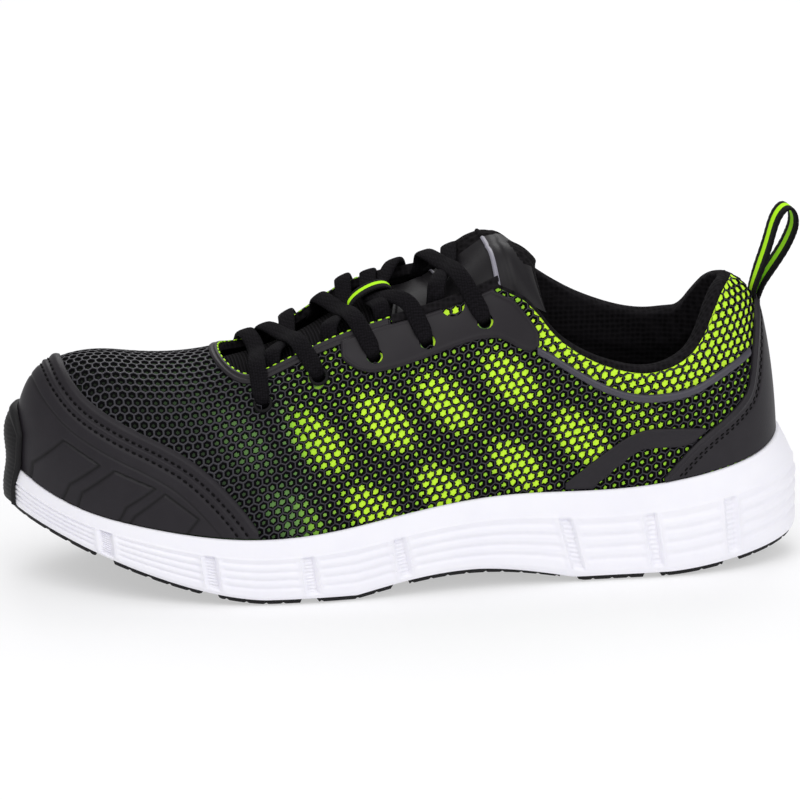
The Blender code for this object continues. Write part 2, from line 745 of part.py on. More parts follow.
def make_tongue(finish):
    """Padded tongue that follows the upper's form from one side of the throat to the other."""
    columns = {name: [row[i] for row in TONGUE][::-1] for i, name in enumerate(TONGUE_COLUMNS)}

    def size(name, place):
        return np.interp(place, columns["place"], columns[name])

    across = np.linspace(-1, 1, 9)
    outside, inside = [], []
    for place in spread(TONGUE[0][0], TONGUE[-1][0], 0.22):
        top, under = [], []
        for share in across:
            here = section(place if share <= 0 else mirrored(place))
            reach = min(size("reach", place), 0.55 * here.lengths[-1])
            length = here.lengths[-1] - abs(share) * reach
            deep = size("middle", place) + (size("edge", place) - size("middle", place)) * abs(share) ** 2
            thick = size("thick", place) * (1 - 0.65 * abs(share) ** 2.5)
            top.append(here.at(length, -deep))
            under.append(here.at(length, -deep - thick))
        outside.append(top)
        inside.append(under)
    return slab("tongue", outside, inside, finish)


LACE_WIDTH = 5.4
LACE_THICK = 1.8
LACE_LIFT = OVERLAY_GAP + EYESTAY_THICK + GAP + LACE_THICK / 2
LACE_DIP = 3.6
LACE_OVER = 0.35       # how much higher the upper one of two crossing runs lies
LACE_STEPS = 9
LACE_ON_EYESTAY = 0.2  # share of a run that lies on each eyestay before it dips to the tongue
KEEPER_PULL = 0.2


def over_throat(lateral_spot, medial_spot, pull, raised):
    """Points and normals of a lace from a lateral eyelet to a medial one over the upper's form."""
    (first, first_length), (second, second_length) = lateral_spot, medial_spot
    points, normals = [], []
    for share in np.linspace(0, 1, LACE_STEPS):
        place = first.place + share * (mirrored(second.place) - first.place)
        inward = np.clip((min(share, 1 - share) - LACE_ON_EYESTAY) / (0.5 - LACE_ON_EYESTAY), 0, 1)
        sag = inward ** 2 * (3 - 2 * inward)
        place += pull * sag
        lateral, medial = section(place), section(mirrored(place))
        left = first.lengths[-1] - first_length
        right = second.lengths[-1] - second_length
        along = -left + share * (left + right)
        here = lateral if along <= 0 else medial
        length = here.lengths[-1] - abs(along)
        lift = LACE_LIFT + raised - LACE_DIP * sag
        points.append(here.at(length, lift))
        normals.append(here.at(length, lift + 1.0) - points[-1])
    return np.array(points), np.array(normals)


def lace_run(name, points, normals, finish):
    """Flat oval lace along points, lying on the shoe's surface."""
    along = np.gradient(points, axis=0)
    rings = []
    for point, direction, normal in zip(points, along, normals):
        sideways = np.cross(direction, normal)
        sideways /= np.linalg.norm(sideways)
        turns = np.linspace(0, 2 * np.pi, 6, endpoint=False)
        rings.append([point + LACE_WIDTH / 2 * np.cos(turn) * sideways
                      + LACE_THICK / 2 * np.sin(turn) * normal for turn in turns])
    count = len(rings[0])
    faces = [tuple(range(count)), tuple(range((len(rings) - 1) * count, len(rings) * count))]
    for level in range(len(rings) - 1):
        for i in range(count):
            after = (i + 1) % count
            faces.append((level * count + i, level * count + after,
                          (level + 1) * count + after, (level + 1) * count + i))
    return solid(name, [point for ring in rings for point in ring], faces, finish)


def make_lace(finish):
    """A bar at the first eyelets and four crossings, joined into one piece."""
    spots = {lateral: [eyelet_spot(x, lateral) for x in EYELET_X] for lateral in (True, False)}
    runs = [(0, 0, 0.0)]
    for i in range(len(EYELET_X) - 1):
        pull = KEEPER_PULL if i == 2 else 0.0
        runs += [(i, i + 1, pull), (i + 1, i, pull)]
    first = None
    for number, (lateral, medial, pull) in enumerate(runs):
        over = LACE_OVER * (number % 2)
        points, normals = over_throat(spots[True][lateral], spots[False][medial], pull, over)
        run = lace_run("lace" if first is None else f"lace_run_{number}", points, normals, finish)
        if first is None:
            first = run
        else:
            join(first, run)
    return first


def band(name, path, thickness, width, middle_y, finish, closed):
    """Webbing in side view along a path of x and z, with its width across the shoe."""
    path = np.array(path, float)
    if closed:
        along = np.roll(path, -1, 0) - np.roll(path, 1, 0)
    else:
        along = np.gradient(path, axis=0)
    along /= np.linalg.norm(along, axis=1)[:, None]
    aside = np.column_stack((-along[:, 1], along[:, 0])) * thickness / 2
    points = []
    for y in (middle_y - width / 2, middle_y + width / 2):
        for offset in (aside, -aside):
            points += [np.array((x, y, z)) for x, z in path + offset]
    count = len(path)
    faces = []
    for i in range(count if closed else count - 1):
        after = (i + 1) % count
        for a, b in ((0, 1), (1, 3), (3, 2), (2, 0)):
            faces.append((a * count + i, a * count + after, b * count + after, b * count + i))
    if not closed:
        for i in (0, count - 1):
            faces.append(tuple(layer * count + i for layer in (0, 1, 3, 2)))
    return solid(name, points, faces, finish)


WEBBING = 1.5
PULL_LOOP_WIDTH = 12.0
PULL_LOOP = ((134.7, 102.6), (136.3, 109.0), (139.9, 118.5), (143.2, 127.5), (146.5, 132.3), (149.3, 131.6),
             (150.7, 127.5), (150.0, 122.5), (147.0, 116.0), (143.0, 109.0), (139.4, 103.6), (137.2, 101.4))


def make_pull_loop(finish):
    return band("pull_loop", PULL_LOOP, WEBBING, PULL_LOOP_WIDTH, 0.0, finish, closed=True)


KEEPER_ENDS = (-19.5, -3.0)
KEEPER_WIDTH = 11.0
KEEPER_HIGH = 2.8
KEEPER_MIDDLE = 2.6    # across the shoe


def make_tongue_keeper(finish):
    """Webbing bridge that stands on the tongue and holds the third crossing."""
    feet = []
    for x in KEEPER_ENDS:
        place = place_at(x, 200.0)
        deep = np.interp(place, [row[0] for row in TONGUE][::-1], [row[2] for row in TONGUE][::-1])
        feet.append(section(place).at(section(place).lengths[-1], -deep + GAP + WEBBING / 2 + 0.4))
    path = []
    for turn in np.linspace(np.pi, 0, 9):
        share = (1 - np.cos(np.pi - turn)) / 2
        crest_place = place_at(feet[0][0] + share * (feet[1][0] - feet[0][0]), 200.0)
        crest = section(crest_place).at(section(crest_place).lengths[-1], KEEPER_HIGH)
        foot = feet[0] + share * (feet[1] - feet[0])
        path.append((foot[0], foot[2] + np.sin(turn) ** 0.6 * (crest[2] - foot[2])))
    return band("tongue_keeper", path, WEBBING, KEEPER_WIDTH, KEEPER_MIDDLE, finish, closed=False)


for old in list(bpy.data.objects):
    bpy.data.objects.remove(old)

# The middle of the whole shoe in plan becomes the origin.
MIDDLE_X = 0.8126
MIDDLE_Y = 1.417
shoe = bpy.data.objects.new("shoe", None)
shoe.location = (-MIDDLE_X * MM, -MIDDLE_Y * MM, 0.0)
bpy.context.scene.collection.objects.link(shoe)

BLACK_RUBBER = material("outsole rubber", (0.012, 0.012, 0.013), 0.55)
WHITE_FOAM = material("midsole foam", (0.88, 0.88, 0.92), 0.5)
NET = material("net over lining", (0.10, 0.22, 0.02), 0.7)
OVERLAY_FILM = material("moulded overlay", (0.035, 0.032, 0.038), 0.45)
PIPING_FILM = material("collar piping", (0.07, 0.065, 0.085), 0.35)
TONGUE_KNIT = material("tongue knit", (0.015, 0.014, 0.015), 0.8)
FOOTBED = material("footbed cloth", (0.02, 0.02, 0.022), 0.9)
LACE_WEAVE = material("lace weave", (0.012, 0.011, 0.012), 0.8)
NEON_WEBBING = material("webbing", (0.09, 0.20, 0.01), 0.7)

make_outsole(BLACK_RUBBER)
make_midsole(WHITE_FOAM)
make_insole(FOOTBED)
upper = make_upper(NET)
cut(upper, eyelet_cutter("upper_punch", EYELET_X, (True, False)))
make_tongue(TONGUE_KNIT)
make_toe_guard(OVERLAY_FILM)
make_heel_counter(OVERLAY_FILM)
for side_name, is_outer in (("lateral", True), ("medial", False)):
    make_heel_band("heel_band_" + side_name, is_outer, OVERLAY_FILM)
    make_eyestay("eyestay_" + side_name, is_outer, OVERLAY_FILM)
    make_collar_piping("collar_piping_" + side_name, is_outer, PIPING_FILM)
make_tongue_keeper(NEON_WEBBING)
make_lace(LACE_WEAVE)
make_pull_loop(NEON_WEBBING)
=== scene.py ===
"""Looks of a low safety trainer, left shoe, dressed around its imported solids.

Toe at -X, heel at +X, outer (lateral) side at -Y, inner (medial) side at +Y, +Z up.
Sizes are in millimetres and become metres when a mesh is made.
"""

import bmesh
import bpy
import numpy as np
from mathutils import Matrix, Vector


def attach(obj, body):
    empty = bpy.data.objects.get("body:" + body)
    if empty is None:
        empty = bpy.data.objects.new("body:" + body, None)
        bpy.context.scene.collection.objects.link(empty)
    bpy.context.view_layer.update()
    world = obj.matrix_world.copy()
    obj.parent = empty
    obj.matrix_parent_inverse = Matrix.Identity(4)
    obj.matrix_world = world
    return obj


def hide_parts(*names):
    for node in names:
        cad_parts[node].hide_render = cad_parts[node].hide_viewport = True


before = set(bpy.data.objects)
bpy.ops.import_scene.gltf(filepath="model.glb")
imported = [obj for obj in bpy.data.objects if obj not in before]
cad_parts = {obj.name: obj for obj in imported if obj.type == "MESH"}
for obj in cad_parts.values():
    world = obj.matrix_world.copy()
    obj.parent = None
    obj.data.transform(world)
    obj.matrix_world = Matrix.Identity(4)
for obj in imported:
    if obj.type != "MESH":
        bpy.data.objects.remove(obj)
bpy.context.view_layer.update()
bpy.ops.object.select_all(action="DESELECT")

# Outsole: black carbon-filled rubber, pressed in a mould with its lugs and cemented under the midsole.
# The form of the last starts here, because every piece follows it.
MM = 0.001
MIDDLE_X = 0.8126
MIDDLE_Y = 1.417
GAP = 0.3
OVERLAY_GAP = 0.4
WALL = 2.6
OUTSOLE = 3.2
GROOVE = 2.0

STATION_COLUMNS = ("lat_x", "lat_y", "med_x", "med_y", "inset", "bed", "lip_lat", "lip_med",
                   "crest_x", "crest_y", "crest_z", "fullness", "pad")
STATIONS = {
    "heel back":   (151.6,   0.0,  151.6,  0.0, 9.1, 26.0, 48.0, 48.0,   87.5, 0.0, 150.0, 2.25, 8.0),
    "heel corner": (138.0, -24.0,  138.0, 24.0, 7.0, 26.0, 42.5, 44.0,   86.0, 0.0, 150.0, 2.25, 7.5),
    "heel side":   (105.0, -36.5,  105.0, 36.0, 5.5, 25.0, 36.5, 39.0,   82.0, 0.0, 150.0, 2.25, 5.0),
    "heel breast": ( 70.0, -38.5,   70.0, 36.5, 5.0, 24.5, 34.0, 38.0,   66.0, 0.5, 147.0, 2.20, 4.0),
    "waist":       ( 35.0, -41.5,   37.0, 37.5, 5.0, 23.0, 34.5, 38.5,   33.0, 2.5, 126.0, 2.20, 0.0),
    "instep":      (  0.0, -46.5,    5.0, 43.0, 5.0, 20.0, 31.0, 34.0,    2.0, 4.0, 112.0, 2.10, 0.0),
    "ball":        (-35.0, -51.5,  -27.0, 51.0, 5.0, 17.0, 25.5, 27.5,  -30.0, 5.0,  98.5, 2.10, 0.0),
    "joint front": (-70.0, -50.5,  -63.0, 55.0, 4.8, 17.0, 24.2, 25.5,  -65.0, 6.0,  85.2, 1.90, 0.0),
    "toe side":    (-104.0, -40.5, -100.0, 51.5, 4.6, 21.5, 28.0, 29.0, -92.0, 7.0,  82.0, 2.20, 0.0),
    "toe corner":  (-132.0, -22.0, -130.0, 37.0, 4.5, 28.0, 34.5, 35.5, -104.0, 7.5, 83.4, 2.90, 0.0),
    "toe tip":     (-148.0,  8.0, -148.0,  8.0, 4.5, 34.0, 43.0, 43.0, -108.0, 8.0,  83.8, 3.40, 0.0),
}
TOE = len(STATIONS) - 1
ROUND = 2 * TOE
STATION_STEP = 33.0
ROUND_COLUMNS = ("x", "y", "lip", "inset", "bed", "crest_x", "crest_y", "crest_z", "fullness", "pad")
CHANNELS = (
    # x, lean
    (-116.0, 3.6), (-78.6, 3.8), (-42.0, 3.6), (-7.0, 4.4), (58.0, 9.5), (90.0, 7.5), (121.0, 5.3),
)
CHANNEL_WIDTH = 6.0
FLAT_FRONT = (-58.0, -24.0)
FLAT_HEEL = (64.0, 96.0)
TOE_SPRING = 28.0
ARCH = 6.0
HEEL_BEVEL = 8.5
MIDDLE_GROOVE = (-113.0, 120.0)
# The inner flap of the throat stands up a little, as the lace pulls it.
FLAP_RISE = 6.5
FLAP_MIDDLE = 22.0
FLAP_WIDTH = 9.0
FLAP_FRONT = (-45.0, -12.0)
FLAP_BACK = (40.0, 58.0)


def unit(vectors):
    """The same directions with a length of 1."""
    return vectors / np.linalg.norm(vectors, axis=-1, keepdims=True)


def rows_between(where, known, rows):
    """Rows of numbers read off between known places."""
    return np.stack([np.interp(where, known, column) for column in np.transpose(rows)], -1)


def lengths_along(path):
    """Length from the start of a path to each of its points."""
    return np.concatenate(([0.0], np.cumsum(np.linalg.norm(np.diff(path, axis=0), axis=1))))


def resample(path, count):
    """Points evenly along a path."""
    lengths = lengths_along(path)
    return rows_between(np.linspace(0, lengths[-1], count), lengths, path)


def closed_curve(rows):
    """Smooth closed curve through the rows, as a function of the row number."""
    count = len(rows)
    matrix = 4 * np.eye(count) + np.roll(np.eye(count), 1, 0) + np.roll(np.eye(count), -1, 0)
    slopes = np.linalg.solve(matrix, 3 * (np.roll(rows, -1, 0) - np.roll(rows, 1, 0)))

    def value(place):
        place = np.asarray(place, float)
        first = np.floor(place).astype(int) % count
        after = (first + 1) % count
        part = (place - np.floor(place))[..., None]
        return ((1 + 2 * part) * (1 - part) ** 2 * rows[first] + part * (1 - part) ** 2 * slopes[first]
                + part ** 2 * (3 - 2 * part) * rows[after] + part ** 2 * (part - 1) * slopes[after])

    return value


def station_rows():
    """The table as one round: heel, lateral side, toe, medial side."""
    table = [dict(zip(STATION_COLUMNS, row)) for row in STATIONS.values()]
    shared = ROUND_COLUMNS[3:]
    lateral, medial = ([[row[key] for key in own + shared] for row in table]
                       for own in (("lat_x", "lat_y", "lip_lat"), ("med_x", "med_y", "lip_med")))
    return np.array(lateral + medial[-2:0:-1])


round_curve = closed_curve(station_rows())


def station(place):
    return dict(zip(ROUND_COLUMNS, np.moveaxis(round_curve(place), -1, 0)))


def sole_edge(place, outward=0.0):
    """Points of the sole's outline in plan, moved outward."""
    place = np.asarray(place, float)
    along = unit(round_curve(place + 0.01)[..., :2] - round_curve(place - 0.01)[..., :2])
    aside = np.stack((-along[..., 1], along[..., 0]), -1)
    return round_curve(place)[..., :2] + np.asarray(outward, float)[..., None] * aside


def mirrored(place):
    return ROUND - place


def bare_section(place, sweep=np.linspace(0.0, np.pi / 2, 97)):
    """Curve of the upper's outside from the bed up to the crest."""
    row = station(place)
    foot = sole_edge(place, -row["inset"])
    crest = np.array((row["crest_x"], row["crest_y"]))
    power = 2 / row["fullness"]
    inward = 1 - np.clip(np.cos(sweep), 0, 1) ** power
    upward = np.sin(sweep) ** power
    plan = foot + np.outer(inward, crest - foot)
    height = row["bed"] + GAP + upward * (row["crest_z"] - row["bed"])
    if place % ROUND > TOE:
        along = smooth_step(plan[:, 0], *FLAP_FRONT) * (1 - smooth_step(plan[:, 0], *FLAP_BACK))
        height = height + FLAP_RISE * along * np.exp(-((plan[:, 1] - FLAP_MIDDLE) / FLAP_WIDTH) ** 2)
    return np.column_stack((plan, height))


class Section:
    """One station of the upper: its curve, its outward normals and the length along it."""

    def __init__(self, place):
        step = 0.02
        self.place = place
        self.points = bare_section(place)
        along = bare_section(place + step) - bare_section(place - step)
        self.normals = unit(np.cross(np.gradient(self.points, axis=0), along))
        self.lengths = lengths_along(self.points)

    def at(self, length, lift=0.0):
        """Points at lengths up the curve, moved outward."""
        point = rows_between(length, self.lengths, self.points)
        return point + np.asarray(lift, float)[..., None] * self.normal(length)

    def normal(self, length):
        return unit(rows_between(length, self.lengths, self.normals))

    def reach(self, inside):
        """Length up to which the points stay inside a form; inside() takes x, y, z."""
        low, high = 0.0, self.lengths[-1]
        if inside(*self.at(high)):
            return high
        for _ in range(24):
            middle = (low + high) / 2
            if inside(*self.at(middle)):
                low = middle
            else:
                high = middle
        return low

    def reach_z(self, height):
        return self.reach(lambda x, y, z: z < height)


sections = {}


def section(place):
    key = round(float(place) % ROUND, 6)
    if key not in sections:
        sections[key] = Section(key)
    return sections[key]


def tread(x):
    """Underside of the sole in side view."""
    x = np.asarray(x, float)
    toe = np.clip((FLAT_FRONT[0] - x) / (FLAT_FRONT[0] - STATIONS["toe tip"][0]), 0, None)
    heel = np.clip((x - FLAT_HEEL[1]) / (STATIONS["heel back"][0] - FLAT_HEEL[1]), 0, None)
    arch = np.clip((x - FLAT_FRONT[1]) / (FLAT_HEEL[0] - FLAT_FRONT[1]), 0, 1)
    return TOE_SPRING * toe ** 1.5 + HEEL_BEVEL * heel ** 1.5 + ARCH * np.sin(np.pi * arch)


def smooth_step(value, low, high):
    share = np.clip((value - low) / (high - low), 0, 1)
    return share * share * (3 - 2 * share)


def grid_faces(rows, columns, start=0, round_rows=False, round_columns=False):
    """Quads of a grid of points that is stored row by row."""
    row, column = np.meshgrid(np.arange(rows if round_rows else rows - 1),
                              np.arange(columns if round_columns else columns - 1), indexing="ij")
    after_row = (row + 1) % rows
    after_column = (column + 1) % columns
    corners = ((row, column), (after_row, column), (after_row, after_column), (row, after_column))
    return np.stack([start + a * columns + b for a, b in corners], -1).reshape(-1, 4).tolist()


def cap_faces(start, count):
    """Faces straight across a ring of points, from one side to the other."""
    half = count // 2
    ends = [(start, start + 1, start + count - 1), (start + half - 1, start + half, start + half + 1)]
    return ends + [(start + i, start + i + 1, start + count - i - 1, start + count - i)
                   for i in range(1, half - 1)]


def stack_faces(rings, count):
    """Faces of a stack of rings of points, closed at both ends."""
    faces = grid_faces(rings, count, round_columns=True)
    return faces + cap_faces(0, count) + cap_faces((rings - 1) * count, count)


def add_piece(name, points, faces, finishes, face_finish=None, closed=True, sharp=0.7):
    """Object from points in millimetres; a closed one gets its faces turned outwards."""
    mesh = bpy.data.meshes.new(name)
    placed = (np.asarray(points, float) - (MIDDLE_X, MIDDLE_Y, 0.0)) * MM
    mesh.from_pydata(placed.tolist(), [], faces)
    for finish in finishes:
        mesh.materials.append(finish)
    if face_finish is not None:
        mesh.polygons.foreach_set("material_index", np.asarray(face_finish, np.int32))
    if closed:
        work = bmesh.new()
        work.from_mesh(mesh)
        bmesh.ops.recalc_face_normals(work, faces=work.faces)
        work.to_mesh(mesh)
        work.free()
    mesh.shade_smooth()
    mesh.set_sharp_from_angle(angle=sharp)
    made = bpy.data.objects.new(name, mesh)
    bpy.context.scene.collection.objects.link(made)
    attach(made, "root")
    return made


def add_values(piece, name, values):
    """Stores one number per point for a material to read."""
    stored = piece.data.attributes.new(name, "FLOAT", "POINT")
    stored.data.foreach_set("value", np.asarray(values, np.float32))


def add_slab(name, outside, inside, finishes, sharp=0.7):
    """Closed piece between two grids of points that have the same rows and columns."""
    rows, columns = outside.shape[:2]
    points = np.concatenate((outside.reshape(-1, 3), inside.reshape(-1, 3)))
    second = rows * columns
    faces = grid_faces(rows, columns) + grid_faces(rows, columns, second)
    edge = [(row, 0) for row in range(rows)] + [(rows - 1, column) for column in range(1, columns)]
    edge += [(row, columns - 1) for row in range(rows - 2, -1, -1)]
    edge += [(0, column) for column in range(columns - 2, 0, -1)]
    numbers = [row * columns + column for row, column in edge]
    for here, after in zip(numbers, numbers[1:] + numbers[:1]):
        faces.append((here, after, after + second, here + second))
    return add_piece(name, points, faces, finishes, sharp=sharp)


def linear(colour):
    """Linear colour from an sRGB hex value."""
    parts = [int(colour[i:i + 2], 16) / 255 for i in (1, 3, 5)]
    light = [part / 12.92 if part <= 0.04045 else ((part + 0.055) / 1.055) ** 2.4 for part in parts]
    return (*light, 1.0)


def add_node(finish, kind, inputs=(), feeds=None, **settings):
    """Adds a node; inputs pair sockets with values or sources; feeds names a socket of the shader."""
    tree = finish.node_tree
    made = tree.nodes.new(kind)
    for key, value in settings.items():
        setattr(made, key, value)
    for key, value in inputs:
        if isinstance(value, bpy.types.NodeSocket):
            tree.links.new(value, made.inputs[key])
        else:
            made.inputs[key].default_value = value
    if feeds:
        tree.links.new(made.outputs[0], tree.nodes["Principled BSDF"].inputs[feeds])
    return made


def new_finish(name, colour, roughness, specular=0.5, sockets=()):
    """Material with constants on its shader."""
    finish = bpy.data.materials.new(name)
    finish.use_nodes = True
    shader = finish.node_tree.nodes["Principled BSDF"]
    for key, value in (("Base Color", linear(colour)), ("Roughness", roughness),
                       ("Specular IOR Level", specular), *sockets):
        shader.inputs[key].default_value = value
    return finish


def add_pattern(finish, kind, size, relief=None, tones=None, inputs=(("Detail", 3.0),), **settings):
    """Gives a material a texture in Object coordinates, and hands back the socket of its value.

    Its marks are size millimetres apart. Relief is their depth in millimetres and the strength of their
    bump. Tones are the two colours that the texture mixes.
    """
    place = add_node(finish, "ShaderNodeTexCoord").outputs["Object"]
    texture = add_node(finish, "ShaderNodeTex" + kind,
                       (("Vector", place), ("Scale", 1 / (size * MM)), *inputs), **settings)
    value = texture.outputs["Distance" if kind == "Voronoi" else "Fac"]
    if relief:
        depth, strength = relief
        add_node(finish, "ShaderNodeBump",
                 (("Height", value), ("Distance", depth * MM), ("Strength", strength)), "Normal")
    if tones:
        low, high = tones
        add_node(finish, "ShaderNodeMixRGB",
                 (("Fac", value), ("Color1", linear(low)), ("Color2", linear(high))), "Base Color")
    return value


# Pressed rubber is matt, nearly black and a little chalky where the mould's grit shows.
rubber = new_finish("pressed black rubber", "#141315", 0.6, 0.25)
add_pattern(rubber, "Noise", 0.9, (0.12, 0.6), ("#0f0e10", "#1a191b"))


def channel_share(x):
    """1 inside the slanted channels of the sole, 0 outside, with soft edges."""
    middle = np.array([row[0] for row in CHANNELS])
    away = np.abs(np.asarray(x)[..., None] - middle).min(-1)
    return 1 - smooth_step(away, CHANNEL_WIDTH / 2 - 0.4, CHANNEL_WIDTH / 2 + 0.4)


def make_outsole():
    """Rubber sheet with lugs between cross grooves, a middle groove and slanted sipes."""
    rows, columns = 380, 33
    sipe_pitch, sipe_depth = 7.0, 0.5
    low_inset, top_inset = 1.8, 1.2
    place = np.linspace(0.03, TOE - 0.03, rows)
    share = np.linspace(0, 1, columns)[None, :, None]

    def sheet(inset):
        """Plan of the sheet from side to side, inside the sole's outline."""
        return (sole_edge(place, -inset)[:, None] * (1 - share)
                + sole_edge(mirrored(place), -inset)[:, None] * share)

    low, top = sheet(low_inset), sheet(top_inset)
    x = low[..., 0]
    across = np.abs(share[..., 0] - 0.5) * np.ones_like(x)
    in_middle = (1 - smooth_step(across, 0.06, 0.08)) * (x > MIDDLE_GROOVE[0]) * (x < MIDDLE_GROOVE[1])
    sipe = np.abs(((x + 40 * across) % sipe_pitch) / sipe_pitch - 0.5)
    cut_in = np.maximum(GROOVE * np.maximum(channel_share(x), in_middle), sipe_depth * (sipe < 0.06))
    bottom = np.dstack((low, tread(x) + cut_in))
    upper_face = np.dstack((top, tread(top[..., 0]) + OUTSOLE))
    return add_slab("outsole_tread", bottom, upper_face, [rubber], 0.5)


outsole = make_outsole()
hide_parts("outsole")

# Midsole: white foam, injected in a mould as one unit with a lip that takes the upper.
# Its side has flutes, and slanted channels with raised lips and a ladder of small ticks.
LIP = 2.4
RIB_DEPTH = 0.6
CHANNEL_DEPTH = 1.6
FLUTES = (0.20, 0.34, 0.48, 0.62)
SKIRT = ((0.0, -0.5), (0.05, 0.0), (1.0, 0.0))
SKIRT_DROP = 1.7


def lean_at(x):
    rows = sorted(CHANNELS)
    return np.interp(x, [row[0] for row in rows], [row[1] for row in rows])


def midsole_side(place, height, outward):
    """Points of the midsole's outside at shares of its height."""
    place = np.asarray(place, float)
    around = place % ROUND
    from_heel = np.minimum(around, mirrored(around))
    side = np.where(around <= TOE, 1, -1)
    shift = lean_at(round_curve(place)[..., 0]) * (height - 0.5) * np.sin(np.pi * from_heel / TOE)
    row = station(place + side * shift / STATION_STEP)
    slope_in = (row["inset"] - LIP) * np.clip((height - 0.55) / 0.45, 0, 1) ** 1.5
    edge = sole_edge(place + side * shift / STATION_STEP, outward - slope_in)
    floor = tread(edge[..., 0]) + OUTSOLE + GAP - SKIRT_DROP
    return np.concatenate((edge, (floor + height * (row["lip"] - floor))[..., None]), -1)


def make_midsole(finish):
    """Foam unit: a fluted side with slanted channels, a rolled lip and a bed for the upper."""
    count, levels = 900, 74
    tick_pitch, tick_high, lip_high, line_high = 1.6, 0.55, 0.5, 0.35
    side_high, channel_foot, channel_top = 28.0, (0.06, 0.11), (0.66, 0.72)
    place = np.linspace(0, ROUND, count, endpoint=False)
    height = np.linspace(0, 1, levels)[:, None]
    x = station(place)["x"][None]
    middles = np.array([row[0] for row in CHANNELS])
    away = x[0][:, None] - middles
    nearest = away[np.arange(count), np.abs(away).argmin(1)][None]
    inside = 1 - smooth_step(np.abs(nearest), CHANNEL_WIDTH / 2 - 1.3, CHANNEL_WIDTH / 2 - 0.5)
    tall = smooth_step(height, *channel_foot) * (1 - smooth_step(height, *channel_top))
    lips = np.exp(-((np.abs(nearest) - CHANNEL_WIDTH / 2 - 0.1) / 0.55) ** 2)
    ticks = 0.5 + 0.5 * np.cos(2 * np.pi * height * side_high / tick_pitch)
    ladder = ticks * smooth_step(nearest, -2.0, -1.6) * (1 - smooth_step(nearest, 1.2, 1.6))
    flutes = np.exp(-((height - np.array(FLUTES)[None]) / 0.03) ** 2).sum(1, keepdims=True)
    outside_lips = smooth_step(np.abs(nearest), CHANNEL_WIDTH / 2 + 0.3, CHANNEL_WIDTH / 2 + 2.4)
    top_line = line_high * np.exp(-((height - 0.70) / 0.018) ** 2)
    outward = np.interp(height, [row[0] for row in SKIRT], [row[1] for row in SKIRT]) * np.ones_like(x)
    outward = outward - tall * (CHANNEL_DEPTH * inside - tick_high * ladder - lip_high * lips)
    outward = outward - RIB_DEPTH * flutes * outside_lips + top_line
    side = midsole_side(np.broadcast_to(place, (levels, count)), height, outward)
    lip_inside, bed_edge = [], []
    for spot in place:
        here = section(spot)
        row = station(spot)
        lip_inside.append(here.at(here.reach_z(row["lip"] - 0.3), OVERLAY_GAP))
        bed_edge.append(np.append(here.at(0.0, OVERLAY_GAP)[:2], row["bed"]))
    rolled = (side[-1] + np.array(lip_inside)) / 2 + (0, 0, 0.35)
    under = np.column_stack((sole_edge(place, -1.0), side[0][:, 2]))
    sunk = np.column_stack((sole_edge(place, -1.0), tread(under[:, 0]) + OUTSOLE + GAP))
    rings = np.concatenate(([sunk, under], side, [rolled, lip_inside, bed_edge]))
    faces = stack_faces(len(rings), count)
    return add_piece("midsole_foam", rings.reshape(-1, 3), faces, [finish], sharp=1.2)


# Injected foam has a fine closed skin: satin, white with a cool cast, and light soaks into it a little.
foam = new_finish("injected white foam", "#f3f2f9", 0.5, 0.35, (
    ("Subsurface Weight", 0.08), ("Subsurface Scale", 1.0),
    ("Subsurface Radius", (0.002, 0.002, 0.0025))))
add_pattern(foam, "Noise", 1.4, (0.05, 0.5))
add_pattern(foam, "Noise", 14.0, tones=("#efeef7", "#f7f6fc"))

midsole = make_midsole(foam)
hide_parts("midsole")

# Toe bumper: the front of the rubber outsole, turned up over the foam and the foot of the toe guard.
# Its face has fine level ribs inside a smooth rolled rim.
BUMPER_TOP = 64.5
BUMPER_ON_SOLE = (0.9, 1.1, 1.4)
BUMPER_ON_GUARD = (2.4, 3.8, 4.4, 1.8)
BUMPER_AT_ENDS = 1.2
BUMPER_ENDS = (9.66, 10.72)
BUMPER_FALL = 9.0
GUARD_THICK = 1.4


